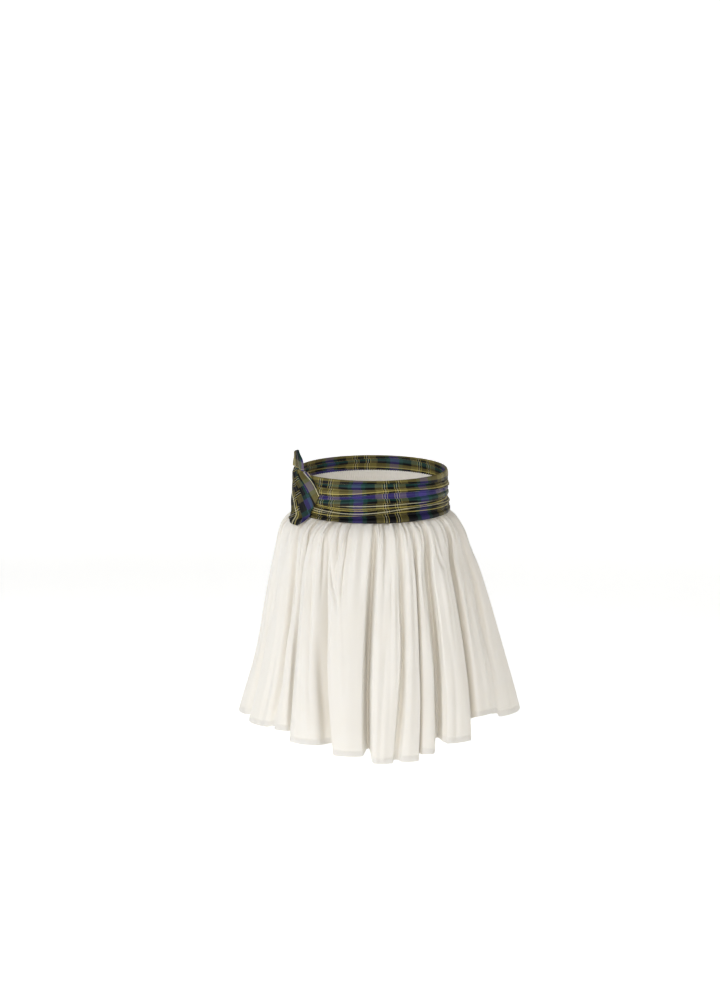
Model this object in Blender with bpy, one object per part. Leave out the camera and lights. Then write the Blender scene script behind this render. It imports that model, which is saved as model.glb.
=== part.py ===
"""A child's Greek fustanella: a white skirt gathered on a waistband, belted with a tartan sash.

The skirt keeps the hollow shape it has when worn. Lengths are in millimetres here and are turned
into metres when a mesh is made. +Z is up and the front faces -Y. The origin is the middle of the
waist, at half the height of the waistband. An azimuth is in degrees from the front, positive
towards +X.
"""

from collections import namedtuple

import bpy
import numpy as np

MM = 0.001
TURN = 360.0

# The waist, measured inside the band. The belt line lies lower in front than behind.
WAIST_HALF_WIDTH = 121.0
WAIST_HALF_DEPTH = 93.0
WAIST_SLOPE = 13.0 / WAIST_HALF_DEPTH
BAND_HEIGHT = 30.0
BAND_WALL = 2.0
BAND_COLUMNS = 60

# The skirt cloth, and the gap left between pieces that are sewn or lie on each other.
CLOTH_WALL = 1.5
SEAM_GAP = 0.3

# The outline of the skirt over its crests: half sizes by how far down from the band a level lies.
Level = namedtuple("Level", "drop left right front back")
OUTLINE = (
    Level(0, 124.5, 124.5, 96.5, 96.5),
    Level(8, 125.5, 125.5, 97.5, 97.5),
    Level(15.5, 128.3, 128, 100, 100),
    Level(19, 134.5, 133, 105.5, 105),
    Level(24, 143, 140, 112, 111),
    Level(34, 153, 148, 120, 119),
    Level(52, 161, 159, 128, 127),
    Level(80, 167, 169, 136, 134),
    Level(120, 175, 185, 146, 144),
    Level(170, 184, 201, 158, 155),
    Level(220, 192, 216, 170, 166),
    Level(270, 203, 231, 182, 176),
    Level(320, 218, 246, 193, 187),
    Level(361, 230, 257, 202, 196),
    Level(420, 244, 270, 214, 206),
)

# The folds, in order of azimuth. Each row holds the valley before the fold, then the fold itself:
# the valley's azimuth at the top, at MIDDLE and at the hem, its depth at MIDDLE and at the hem, how
# wide the side before it and the side after it are, how far both sides lean over it, how far the
# fold's crest lies inside the outline, the height of its hem, the number of gathers at its top and
# the part of its length that they reach down.
Fold = namedtuple(
    "Fold", "name top middle hem deep_middle deep_hem before after lean inside hem_z gathers reach"
)
FRONT_FOLDS = (
    Fold("right side", -100, -98, -97, 25, 34, 18, 14, 0, 0, -371, 2, 0.30),
    Fold("right hip", -84, -79, -75, 13, 17, 14, 8, -2, 2, -381, 2, 0.30),
    Fold("thin ridge", -64, -57, -53.5, 24, 13, 13, 14, 0, 4, -385, 1, 0.25),
    Fold("right knife pleat", -51, -46.5, -41, 26, 38, 8, 6, -7, 0, -403, 2, 0.28),
    Fold("broad front", -37, -28, -18, 32, 46, 30, 6, -7, 0, -420, 4, 0.46),
    Fold("middle", 3.5, -2.3, -2.7, 46, 60, 8, 12, 0, 0, -431, 2, 0.40),
    Fold("left of middle", 23, 18.5, 11, 15, 13, 9, 9, 0, 0, -428, 1, 0.25),
    Fold("narrow", 34, 29, 22.5, 25, 28, 5, 5, -1, 5, -418, 1, 0.25),
    Fold("left pleat", 46, 44, 36.5, 44, 58, 12, 11, -20, 0, -400, 2, 0.30),
    Fold("left hip", 66, 61, 53, 36, 48, 6, 20, -19, 7, -361, 1, 0.28),
    Fold("left side", 81, 74, 65, 14, 12, 14, 18, -4, 0, -366, 2, 0.30),
)
BACK_FOLDS = (
    Fold("left back corner", 100, 98, 97, 26, 40, 18, 10, 0, 0, -374, 2, 0.30),
    Fold("back 2", 117, 116, 113, 30, 44, 9, 12, 4, 3, -384, 1, 0.28),
    Fold("back 3", 129, 131, 128, 20, 30, 10, 9, 0, 0, -392, 2, 0.36),
    Fold("back 4", 148, 146, 146, 38, 52, 8, 10, 5, 0, -398, 2, 0.30),
    Fold("back 5", 166, 163, 162, 16, 22, 12, 11, 0, 5, -402, 1, 0.26),
    Fold("back 6", 177, 178, 175, 34, 48, 9, 8, -4, 0, -404, 3, 0.42),
    Fold("back 7", 204, 199, 197, 40, 56, 12, 7, -6, 0, -402, 2, 0.32),
    Fold("back 8", 221, 217, 216, 22, 26, 8, 14, 0, 4, -396, 1, 0.26),
    Fold("back 9", 232, 231, 229, 36, 46, 10, 9, 3, 0, -388, 2, 0.34),
    Fold("right back corner", 249, 247, 246, 24, 36, 9, 12, -3, 0, -378, 1, 0.28),
)
FOLDS = FRONT_FOLDS + BACK_FOLDS
MIDDLE = 0.45

# The gathers at the top of a fold: how deep they are in the band, how much deeper they get and by
# what part of the length. A fold is fully open at OPEN_AT.
GATHER_DEPTH = 4.5
GATHER_GROWTH = 1.4
GATHER_GROWN_AT = 0.15
OPEN_AT = 0.32

# A fold across: the share of its columns on each side, how steep its sides are, the widest that a
# side may be, its width in the band by gather, and how round its crest is. Valleys hang shorter.
SIDE_SHARE = 0.3
SIDE_STEEPNESS = 0.5
WIDEST_SIDE = 0.42
CLOSED_SIDE = 0.4
CREST_ROUNDING = 0.22
VALLEY_HEM_LIFT = 0.2

# How far down each row of the skirt's mesh lies, as a part of the length, and its columns.
SKIRT_ROWS = (0, 0.0385, 0.05, 0.066, 0.095, 0.15, 0.22, 0.31, 0.42, 0.55, 0.7, 0.85, 1)
SIDE_STEPS = 3
CREST_STEPS_A_GATHER = 2
SLOPE_STEP = 0.004

# The sash band: the height of each row of its outer face over the belt line, and how far out from
# the waist it lies. Its creases rise and fall by CREASE_WANDER on their way round, apart from those
# within CREASE_EDGE of an edge.
BandRow = namedtuple("BandRow", "height out")
SASH_ROWS = (
    BandRow(-30.5, 11.0),
    BandRow(-26.5, 11.6),
    BandRow(-20, 8.2),
    BandRow(-13, 9.6),
    BandRow(-6, 6.6),
    BandRow(3, 8.8),
    BandRow(11, 6.4),
    BandRow(20, 8.6),
    BandRow(27, 6.2),
    BandRow(35, 7.8),
    BandRow(40, 5.8),
)
SASH_WALL = 2.6
SASH_COLUMNS = 60
CREASE_WANDER = 1.6
CREASE_WAVES = 3
CREASE_START = 40.0
CREASE_EDGE = 10.0

# The slanting wrap: the reach in azimuth of each of its rows, how far out from the waist its inner
# face lies and how thick it is there.
WrapRow = namedtuple("WrapRow", "height start end out thick")
WRAP_ROWS = (
    WrapRow(-43, -71, -63, 28.5, 2.0),
    WrapRow(-38, -79, -61, 22.5, 3.5),
    WrapRow(-31, -90, -60, 13.0, 5.5),
    WrapRow(-18, -100, -57, 12.0, 4.5),
    WrapRow(-3, -103, -53, 10.4, 4.5),
    WrapRow(12, -103, -50, 9.4, 4.5),
    WrapRow(26, -100, -53, 9.2, 4.5),
    WrapRow(37, -96, -58, 9.2, 4.0),
    WrapRow(45, -92, -62, 8.8, 3.0),
)
WRAP_COLUMNS = 16
WRAP_PLEAT = 15.0
WRAP_PLEAT_RISE = 1.1
WRAP_PLEAT_ANGLE = 48.0
WRAP_EDGE_SHARE = 0.2
WRAP_EDGE_THICK = 1.2

# The free end: the reach in azimuth of each row, how far out its inner face lies and its thickness.
END_ROWS = (
    WrapRow(45.3, -88, -66, 8.8, 3.0),
    WrapRow(55, -87, -67, 8.4, 3.4),
    WrapRow(65, -85, -68, 8.8, 3.2),
    WrapRow(73, -83, -70, 9.6, 2.8),
    WrapRow(78, -79, -72, 10.4, 2.0),
)
END_COLUMNS = 6
END_CUP = 2.0

# Faces that meet at less than this angle are shaded as one.
SMOOTH_BELOW = 60.0

Finish = namedtuple("Finish", "name colour roughness")
WHITE_COTTON = Finish("white_cotton", (0.87, 0.85, 0.78), 0.75)
TARTAN_CLOTH = Finish("tartan_cloth", (0.10, 0.13, 0.12), 0.55)


def blend(low, high, share):
    """Return the value a share of the way from low to high."""
    return low + (high - low) * share


def ease(share):
    """Return a share held between 0 and 1 that starts and ends gently."""
    held = np.clip(share, 0.0, 1.0)
    return held * held * (3.0 - 2.0 * held)


def through_three(top, middle, hem, fall):
    """Return the value at a fall of the smooth curve through the top, MIDDLE and hem values."""
    by_top = (fall - MIDDLE) * (fall - 1.0) / MIDDLE
    by_middle = fall * (fall - 1.0) / (MIDDLE * (MIDDLE - 1.0))
    by_hem = fall * (fall - MIDDLE) / (1.0 - MIDDLE)
    return top * by_top + middle * by_middle + hem * by_hem


def table_curve(rows, key, name, at):
    """Return the smooth curve through one column of a table, read where its key column equals at."""
    keys = np.array([getattr(row, key) for row in rows], float)
    values = np.array([getattr(row, name) for row in rows], float)
    slopes = np.gradient(values, keys)
    held = np.clip(at, keys[0], keys[-1])
    first = np.clip(np.searchsorted(keys, held, side="right") - 1, 0, len(keys) - 2)
    span = keys[first + 1] - keys[first]
    share = (held - keys[first]) / span
    bend = slopes[first] * (1.0 - share) - slopes[first + 1] * share
    return blend(values[first], values[first + 1], ease(share)) + share * (1.0 - share) * span * bend


def oval_radius(azimuth, left, right, front, back):
    """Return the distance from the middle to an oval with four half sizes."""
    side = np.sin(np.radians(azimuth))
    ahead = np.cos(np.radians(azimuth))
    half_width = np.where(side > 0, right, left)
    half_depth = np.where(ahead > 0, front, back)
    return 1.0 / np.hypot(side / half_width, ahead / half_depth)


def waist_radius(azimuth, out):
    """Return the distance from the middle to the waist's oval, moved out."""
    width = WAIST_HALF_WIDTH + out
    depth = WAIST_HALF_DEPTH + out
    return oval_radius(azimuth, width, width, depth, depth)


def skirt_outline(azimuth, drop):
    """Return the distance from the middle to the skirt's outline at a drop."""
    sizes = [table_curve(OUTLINE, "drop", name, drop) for name in ("left", "right", "front", "back")]
    return oval_radius(azimuth, *sizes)


def belt_points(azimuth, radius, height):
    """Return the points at a height over the sloping belt line."""
    x = radius * np.sin(np.radians(azimuth))
    y = -radius * np.cos(np.radians(azimuth))
    return np.stack(np.broadcast_arrays(x, y, WAIST_SLOPE * y + height), axis=-1)


def fold_column(name, index):
    """Return one column of the fold table at whole numbers, which may run past one turn."""
    values = np.array([getattr(fold, name) for fold in FOLDS], float)
    return values[index % len(FOLDS)]


def valley_azimuth(index, fall):
    """Return the azimuth of the valley before a fold, at a fall from 0, the band, to 1, the hem."""
    row = [fold_column(name, index) for name in ("top", "middle", "hem")]
    return through_three(*row, fall) + TURN * (index // len(FOLDS))


def valley_depth(index, fall):
    """Return how deep the valley before a fold lies below the outline at a fall."""
    row = [fold_column(name, index) for name in ("deep_middle", "deep_hem")]
    return through_three(GATHER_DEPTH, *row, fall)


def crest_length(index):
    """Return the length of a fold's crest from the band to the hem."""
    azimuth = (valley_azimuth(index, 0.0) + valley_azimuth(index + 1, 0.0)) / 2.0
    top = belt_points(azimuth, skirt_outline(azimuth, 0.0), -BAND_HEIGHT / 2.0 - SEAM_GAP)
    return top[..., 2] - fold_column("hem_z", index)


def valley_length(index):
    """Return the length of the valley before a fold: a little shorter than the crests beside it."""
    beside = (crest_length(index - 1) + crest_length(index)) / 2.0
    return beside - VALLEY_HEM_LIFT * fold_column("deep_hem", index)


def gather_depth(index, across, fall):
    """Return how deep the short gathers at the top press into a fold's crest."""
    gathers = fold_column("gathers", index)
    nearest = np.round(across * gathers)
    away = np.abs(across * gathers - nearest)
    trough = 0.5 + 0.5 * np.cos(2.0 * np.pi * away)
    between_valleys = (nearest > 0) & (nearest < gathers)
    fade = 1.0 - ease(fall / fold_column("reach", index))
    growth = 1.0 + GATHER_GROWTH * ease(fall / GATHER_GROWN_AT)
    return np.where(between_valleys, trough * fade * growth, 0.0) * GATHER_DEPTH


def fold_side(share, side_width):
    """Return how far along and how high up a fold's side a share of it lies, from its valley."""
    turn = np.pi * np.clip(share, 0.0, 1.0)
    along = side_width * (turn / np.pi + SIDE_STEEPNESS * np.sin(2.0 * turn) / (2.0 * np.pi))
    return along, (1.0 - np.cos(turn)) / 2.0


def skirt_points(position, fall):
    """Return points of the skirt's outer face.

    A position is the number of a fold plus the share of the way across it. A fall is a part of the
    way from the band to the hem.
    """
    index = np.floor(position).astype(int)
    place = position - index
    start = valley_azimuth(index, fall)
    end = valley_azimuth(index + 1, fall)
    middle_radius = skirt_outline((start + end) / 2.0, fall * crest_length(index))
    degrees_a_mm = np.degrees(1.0 / middle_radius)
    width = (end - start) / degrees_a_mm

    opened = ease(fall / OPEN_AT)
    closed_side = CLOSED_SIDE * width / fold_column("gathers", index)
    widest_side = WIDEST_SIDE * width
    first_side = np.minimum(blend(closed_side, fold_column("after", index), opened), widest_side)
    last_side = np.minimum(blend(closed_side, fold_column("before", index + 1), opened), widest_side)
    first_along, first_rise = fold_side(place / SIDE_SHARE, first_side)
    last_along, last_rise = fold_side((1.0 - place) / SIDE_SHARE, last_side)
    crest_share = np.clip((place - SIDE_SHARE) / (1.0 - 2.0 * SIDE_SHARE), 0.0, 1.0)
    crest_width = width - first_side - last_side
    along = first_along + crest_share * crest_width + last_side - last_along
    rise = np.minimum(first_rise, last_rise)

    across = along / width
    lean = blend(fold_column("lean", index), fold_column("lean", index + 1), ease(across))
    azimuth = start + (along + lean * opened * rise) * degrees_a_mm
    rounding = CREST_ROUNDING * width / 2.0 * (2.0 * across - 1.0) ** 2
    crest_below = (fold_column("inside", index) + rounding) * opened + gather_depth(index, across, fall)
    nearest_valley = index + (place > 0.5)
    depth = blend(valley_depth(nearest_valley, fall), crest_below, rise)

    drop = fall * blend(valley_length(nearest_valley), crest_length(index), rise)
    radius = skirt_outline(azimuth, drop) - depth
    top_radius = skirt_outline(azimuth, 0.0) - np.minimum(depth, GATHER_DEPTH)
    top = belt_points(azimuth, top_radius, -BAND_HEIGHT / 2.0 - SEAM_GAP)
    points = np.array(belt_points(azimuth, radius, 0.0))
    points[..., 2] = top[..., 2] - drop
    return points


def lengths_of(vectors):
    """Return the length of each vector, shaped so that it divides them."""
    return np.linalg.norm(vectors, axis=-1, keepdims=True)


def skirt_wall(first_fold, last_fold):
    """Return the outer and inner points of the panel between two folds' valleys."""
    columns = []
    for number in range(first_fold, last_fold):
        crest_steps = CREST_STEPS_A_GATHER * int(FOLDS[number].gathers)
        sides = np.linspace(0.0, SIDE_SHARE, SIDE_STEPS, endpoint=False)
        crest = np.linspace(SIDE_SHARE, 1.0 - SIDE_SHARE, crest_steps, endpoint=False)
        columns.extend(number + sides)
        columns.extend(number + crest)
        columns.extend(number + 1.0 - SIDE_SHARE + sides)
    columns.append(last_fold)
    position = np.array(columns)[None, :]
    fall = np.array(SKIRT_ROWS)[:, None]
    outer = skirt_points(position, fall)
    across = skirt_points(position + SLOPE_STEP, fall) - skirt_points(position - SLOPE_STEP, fall)
    down = skirt_points(position, np.minimum(fall + SLOPE_STEP, 1.0))
    down = down - skirt_points(position, np.maximum(fall - SLOPE_STEP, 0.0))
    inward = np.cross(across, down)
    inward = inward / lengths_of(inward)
    inner = outer + CLOTH_WALL * inward
    # The top edge stays on the belt line, where it meets the band.
    flat = inner[0] - outer[0]
    flat[:, 2] = 0.0
    inner[0] = outer[0] + CLOTH_WALL * flat / lengths_of(flat)
    inner[0, :, 2] = outer[0, :, 2] + WAIST_SLOPE * (inner[0, :, 1] - outer[0, :, 1])
    # Half of the seam's gap is left at each end of the panel.
    for column, way in ((0, 1.0), (-1, -1.0)):
        along = across[:, column] / lengths_of(across[:, column])
        outer[:, column] += along * way * SEAM_GAP / 2.0
        inner[:, column] += along * way * SEAM_GAP / 2.0
    return outer, inner


def sash_points(azimuth, height, out):
    """Return points at a height and a distance out of the waist, with the sash's wandering creases."""
    wave = np.sin(np.radians(CREASE_WAVES * azimuth + CREASE_START))
    over_lower = ease((height - SASH_ROWS[0].height) / CREASE_EDGE)
    under_upper = ease((SASH_ROWS[-1].height - height) / CREASE_EDGE)
    wander = CREASE_WANDER * wave * over_lower * under_upper
    return belt_points(azimuth, waist_radius(azimuth, out), height + wander)


def ring_azimuths(columns):
    """Return evenly spaced azimuths round one turn, as a row."""
    return np.linspace(0.0, TURN, columns, endpoint=False)[None, :]


def table_column(rows, name):
    """Return one column of a table, as a column."""
    return np.array([getattr(row, name) for row in rows], float)[:, None]


def band_wall():
    """Return the outer and inner points of the waistband."""
    azimuth = ring_azimuths(BAND_COLUMNS)
    height = np.array([BAND_HEIGHT / 2.0, -BAND_HEIGHT / 2.0])[:, None]
    outer = belt_points(azimuth, waist_radius(azimuth, BAND_WALL), height)
    inner = belt_points(azimuth, waist_radius(azimuth, 0.0), height)
    return outer, inner


def sash_wall():
    """Return the outer and inner points of the sash band, from its upper edge to its lower one."""
    rows = SASH_ROWS[::-1]
    azimuth = ring_azimuths(SASH_COLUMNS)
    height = table_column(rows, "height")
    out = table_column(rows, "out")
    return sash_points(azimuth, height, out), sash_points(azimuth, height, out - SASH_WALL)


def strip_wall(rows, columns, pleat_rise, cup):
    """Return the outer and inner points of a strip of sash that lies outside the band."""
    rows = rows[::-1]
    share = np.linspace(0.0, 1.0, columns + 1)[None, :]
    height = table_column(rows, "height")
    azimuth = blend(table_column(rows, "start"), table_column(rows, "end"), share)
    out = table_column(rows, "out") + cup * (1.0 - 4.0 * share * (1.0 - share))
    edge = ease(np.minimum(share, 1.0 - share) / WRAP_EDGE_SHARE)
    thick = blend(WRAP_EDGE_THICK, table_column(rows, "thick"), edge)
    along = np.radians(azimuth) * WAIST_HALF_WIDTH
    slant = np.radians(WRAP_PLEAT_ANGLE)
    over_pleats = (along * np.sin(slant) + height * np.cos(slant)) / WRAP_PLEAT
    thick = thick + pleat_rise * edge * np.sin(2.0 * np.pi * over_pleats)
    inner = belt_points(azimuth, waist_radius(azimuth, out), height)
    outer = belt_points(azimuth, waist_radius(azimuth, out + thick), height)
    return outer, inner


def wall_faces(rows, columns, ring):
    """Return the faces of a wall whose outer points come first, then its inner ones."""
    def corner(row, column, inner):
        return (row + rows * inner) * columns + column % columns

    faces = []
    for column in range(columns if ring else columns - 1):
        beside = column + 1
        for row in range(rows - 1):
            outer = [corner(row, column, 0), corner(row + 1, column, 0)]
            outer += [corner(row + 1, beside, 0), corner(row, beside, 0)]
            faces.append(outer)
            faces.append([place + rows * columns for place in reversed(outer)])
        for row, way in ((0, 1), (rows - 1, -1)):
            rim = [corner(row, column, 0), corner(row, beside, 0)]
            rim += [corner(row, beside, 1), corner(row, column, 1)]
            faces.append(rim[::way])
    if not ring:
        for row in range(rows - 1):
            for column, way in ((0, 1), (columns - 1, -1)):
                side = [corner(row, column, 0), corner(row, column, 1)]
                side += [corner(row + 1, column, 1), corner(row + 1, column, 0)]
                faces.append(side[::way])
    return faces


def add_wall(name, wall, ring, material):
    """Add a closed wall of cloth between its outer and its inner points."""
    outer, inner = wall
    rows, columns = outer.shape[:2]
    points = np.concatenate([outer, inner]).reshape(-1, 3) * MM
    mesh = bpy.data.meshes.new(name)
    mesh.from_pydata(points.tolist(), [], wall_faces(rows, columns, ring))
    mesh.validate()
    mesh.shade_smooth()
    mesh.set_sharp_from_angle(angle=np.radians(SMOOTH_BELOW))
    mesh.materials.append(material)
    piece = bpy.data.objects.new(name, mesh)
    bpy.context.collection.objects.link(piece)
    return piece


def add_material(finish):
    """Add a plain material of a finish's colour and roughness."""
    material = bpy.data.materials.new(finish.name)
    material.use_nodes = True
    shader = material.node_tree.nodes["Principled BSDF"]
    shader.inputs["Base Color"].default_value = (*finish.colour, 1.0)
    shader.inputs["Roughness"].default_value = finish.roughness
    shader.inputs["Metallic"].default_value = 0.0
    return material


def main():
    """Build every piece."""
    for piece in list(bpy.data.objects):
        bpy.data.objects.remove(piece, do_unlink=True)
    cotton = add_material(WHITE_COTTON)
    tartan = add_material(TARTAN_CLOTH)
    front_folds = len(FRONT_FOLDS)
    add_wall("waistband", band_wall(), True, cotton)
    add_wall("skirt_front", skirt_wall(0, front_folds), False, cotton)
    add_wall("skirt_back", skirt_wall(front_folds, len(FOLDS)), False, cotton)
    add_wall("sash_band", sash_wall(), True, tartan)
    add_wall("sash_wrap", strip_wall(WRAP_ROWS, WRAP_COLUMNS, WRAP_PLEAT_RISE, 0.0), False, tartan)
    add_wall("sash_end", strip_wall(END_ROWS, END_COLUMNS, 0.0, END_CUP), False, tartan)


main()
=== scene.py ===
"""The looks of a child's Greek fustanella: gathered white cotton, belted with a tartan sash.

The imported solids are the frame. Each of them is replaced by cloth on the same form, made from the
same tables but finer, with its smaller creases, its turned hem and its stitches. Lengths are in
millimetres and become metres when a mesh is made. +Z is up and the front faces -Y. An azimuth is
in degrees from the front, positive towards +X.
"""

import math
from collections import namedtuple

import bmesh
import bpy
import numpy as np
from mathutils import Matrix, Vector


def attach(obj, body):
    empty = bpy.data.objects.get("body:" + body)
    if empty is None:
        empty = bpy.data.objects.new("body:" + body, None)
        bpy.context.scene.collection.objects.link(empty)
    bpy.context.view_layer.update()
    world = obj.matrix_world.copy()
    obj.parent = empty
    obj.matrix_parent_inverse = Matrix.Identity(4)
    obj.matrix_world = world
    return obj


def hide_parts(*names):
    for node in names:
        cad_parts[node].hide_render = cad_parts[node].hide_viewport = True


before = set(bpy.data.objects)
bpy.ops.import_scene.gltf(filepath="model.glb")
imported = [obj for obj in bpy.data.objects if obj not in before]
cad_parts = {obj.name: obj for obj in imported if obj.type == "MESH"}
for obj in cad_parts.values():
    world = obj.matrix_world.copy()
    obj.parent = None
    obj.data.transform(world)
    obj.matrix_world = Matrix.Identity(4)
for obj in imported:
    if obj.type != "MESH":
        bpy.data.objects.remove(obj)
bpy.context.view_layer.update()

# A millimetre in metres, the distance under which two points are one, and a turn in degrees.
MM = 0.001
WELD = 0.1
TURN = 360.0

# The waist, measured inside the band. The belt line lies WAIST_TILT lower in front than at the
# sides, and as much higher behind.
WAIST_HALF_WIDTH = 121.0
WAIST_HALF_DEPTH = 93.0
WAIST_TILT = 13.0
WAIST_SLOPE = WAIST_TILT / WAIST_HALF_DEPTH
BAND_HEIGHT = 30.0
BAND_WALL = 2.0

# The gap left between pieces that are sewn or lie on each other.
SEAM_GAP = 0.3

# The outline of the skirt over its crests: half sizes by how far down from the band a level lies.
Level = namedtuple("Level", "drop left right front back")
OUTLINE = (
    Level(0, 124.5, 124.5, 96.5, 96.5),
    Level(8, 125.5, 125.5, 97.5, 97.5),
    Level(15.5, 128.3, 128, 100, 100),
    Level(19, 134.5, 133, 105.5, 105),
    Level(24, 143, 140, 112, 111),
    Level(34, 153, 148, 120, 119),
    Level(52, 161, 159, 128, 127),
    Level(80, 167, 169, 136, 134),
    Level(120, 175, 185, 146, 144),
    Level(170, 184, 201, 158, 155),
    Level(220, 192, 216, 170, 166),
    Level(270, 203, 231, 182, 176),
    Level(320, 218, 246, 193, 187),
    Level(361, 230, 257, 202, 196),
    Level(420, 244, 270, 214, 206),
)

# The folds, in order of azimuth. Each row holds the valley before the fold, then the fold itself:
# the valley's azimuth at the top, at MIDDLE and at the hem, its depth at MIDDLE and at the hem, how
# wide the side before it and the side after it are, how far both sides lean over it, how far the
# fold's crest lies inside the outline, the height of its hem, the number of gathers at its top and
# the part of its length that they reach down.
Fold = namedtuple(
    "Fold", "name top middle hem deep_middle deep_hem before after lean inside hem_z gathers reach"
)
FRONT_FOLDS = (
    Fold("right side", -100, -98, -97, 25, 34, 18, 14, 0, 0, -371, 2, 0.30),
    Fold("right hip", -84, -79, -75, 13, 17, 14, 8, -2, 2, -381, 2, 0.30),
    Fold("thin ridge", -64, -57, -53.5, 24, 13, 13, 14, 0, 4, -385, 1, 0.25),
    Fold("right knife pleat", -51, -46.5, -41, 26, 38, 8, 6, -7, 0, -403, 2, 0.28),
    Fold("broad front", -37, -28, -18, 32, 46, 30, 6, -7, 0, -420, 4, 0.46),
    Fold("middle", 3.5, -2.3, -2.7, 46, 60, 8, 12, 0, 0, -431, 2, 0.40),
    Fold("left of middle", 23, 18.5, 11, 15, 13, 9, 9, 0, 0, -428, 1, 0.25),
    Fold("narrow", 34, 29, 22.5, 25, 28, 5, 5, -1, 5, -418, 1, 0.25),
    Fold("left pleat", 46, 44, 36.5, 44, 58, 12, 11, -20, 0, -400, 2, 0.30),
    Fold("left hip", 66, 61, 53, 36, 48, 6, 20, -19, 7, -361, 1, 0.28),
    Fold("left side", 81, 74, 65, 14, 12, 14, 18, -4, 0, -366, 2, 0.30),
)
BACK_FOLDS = (
    Fold("left back corner", 100, 98, 97, 26, 40, 18, 10, 0, 0, -374, 2, 0.30),
    Fold("back 2", 117, 116, 113, 30, 44, 9, 12, 4, 3, -384, 1, 0.28),
    Fold("back 3", 129, 131, 128, 20, 30, 10, 9, 0, 0, -392, 2, 0.36),
    Fold("back 4", 148, 146, 146, 38, 52, 8, 10, 5, 0, -398, 2, 0.30),
    Fold("back 5", 166, 163, 162, 16, 22, 12, 11, 0, 5, -402, 1, 0.26),
    Fold("back 6", 177, 178, 175, 34, 48, 9, 8, -4, 0, -404, 3, 0.42),
    Fold("back 7", 204, 199, 197, 40, 56, 12, 7, -6, 0, -402, 2, 0.32),
    Fold("back 8", 221, 217, 216, 22, 26, 8, 14, 0, 4, -396, 1, 0.26),
    Fold("back 9", 232, 231, 229, 36, 46, 10, 9, 3, 0, -388, 2, 0.34),
    Fold("right back corner", 249, 247, 246, 24, 36, 9, 12, -3, 0, -378, 1, 0.28),
)
FOLDS = FRONT_FOLDS + BACK_FOLDS
MIDDLE = 0.45

# The gathers at the top of a fold: how deep they are in the band, how much deeper they get and by
# what part of the length. A fold is fully open at OPEN_AT.
GATHER_DEPTH = 4.5
GATHER_GROWTH = 1.4
GATHER_GROWN_AT = 0.15
OPEN_AT = 0.32

# A fold across: the share of its columns on each side, how steep its sides are, the widest that a
# side may be, its width in the band by gather, and how round its crest is. Valleys hang shorter.
SIDE_SHARE = 0.3
SIDE_STEEPNESS = 0.5
WIDEST_SIDE = 0.42
CLOSED_SIDE = 0.4
CREST_ROUNDING = 0.22
VALLEY_HEM_LIFT = 0.2

# The deep valleys are shallower than in the solids, so that as much light reaches their bottom as
# in thin cloth: past KNEE_DEPTH they deepen by the part PAST_KNEE.
KNEE_DEPTH = 24.0
PAST_KNEE = 0.45

# The step over which the skirt's slope is measured.
SLOPE_STEP = 0.004

# The sash band: the height of each row of its outer face over the belt line, and how far out from
# the waist it lies. Its creases rise and fall by CREASE_WANDER on their way round, apart from those
# within CREASE_EDGE of an edge.
BandRow = namedtuple("BandRow", "height out")
SASH_ROWS = (
    BandRow(-30.5, 11.0),
    BandRow(-26.5, 11.6),
    BandRow(-20, 8.2),
    BandRow(-13, 9.6),
    BandRow(-6, 6.6),
    BandRow(3, 8.8),
    BandRow(11, 6.4),
    BandRow(20, 8.6),
    BandRow(27, 6.2),
    BandRow(35, 7.8),
    BandRow(40, 5.8),
)
SASH_BOTTOM = SASH_ROWS[0].height
SASH_TOP = SASH_ROWS[-1].height
SASH_WALL = 2.6
CREASE_WANDER = 1.6
CREASE_WAVES = 3
CREASE_START = 40.0
CREASE_EDGE = 10.0

# The slanting wrap: the reach in azimuth of each of its rows, how far out from the waist its inner
# face lies and how thick it is there. Its pleats lie WRAP_PLEAT apart and rise by WRAP_PLEAT_RISE.
# Over WRAP_EDGE_SHARE of its width each side thins to WRAP_EDGE_THICK.
WrapRow = namedtuple("WrapRow", "height start end out thick")
WRAP_ROWS = (
    WrapRow(-43, -71, -63, 28.5, 2.0),
    WrapRow(-38, -79, -61, 22.5, 3.5),
    WrapRow(-31, -90, -60, 13.0, 5.5),
    WrapRow(-18, -100, -57, 12.0, 4.5),
    WrapRow(-3, -103, -53, 10.4, 4.5),
    WrapRow(12, -103, -50, 9.4, 4.5),
    WrapRow(26, -100, -53, 9.2, 4.5),
    WrapRow(37, -96, -58, 9.2, 4.0),
    WrapRow(45, -92, -62, 8.8, 3.0),
)
WRAP_PLEAT = 15.0
WRAP_PLEAT_RISE = 3.0
WRAP_PLEAT_ANGLE = 48.0
WRAP_EDGE_SHARE = 0.2
WRAP_EDGE_THICK = 1.2

# The free end: the reach in azimuth of each row, how far out its inner face lies and its thickness.
# Its sides lie END_CUP further out than its middle.
END_ROWS = (
    WrapRow(45.3, -88, -66, 8.8, 3.0),
    WrapRow(55, -87, -67, 8.4, 3.4),
    WrapRow(65, -85, -68, 8.8, 3.2),
    WrapRow(73, -83, -70, 9.6, 2.8),
    WrapRow(78, -79, -72, 10.4, 2.0),
)
END_CUP = 2.0

# Faces that meet at less than this angle are shaded as one.
SMOOTH_BELOW = 60.0

# The skirt as cloth. The rows of a panel's mesh lie in spans of a part of its length. Its columns
# lie evenly along the cloth, by its lengths at SPREAD_FALLS, read in SPREAD_STEPS steps a fold.
COTTON_THICK = 0.6
PANEL_COLUMNS = 560
RowSpan = namedtuple("RowSpan", "start end steps")
PANEL_ROWS = (
    RowSpan(-0.012, 0.0, 2),
    RowSpan(0.0, 0.15, 22),
    RowSpan(0.15, 0.962, 40),
    RowSpan(0.962, 1.0, 9),
)
SPREAD_FALLS = (0.1, 0.5, 1.0)
SPREAD_STEPS = 120

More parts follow.
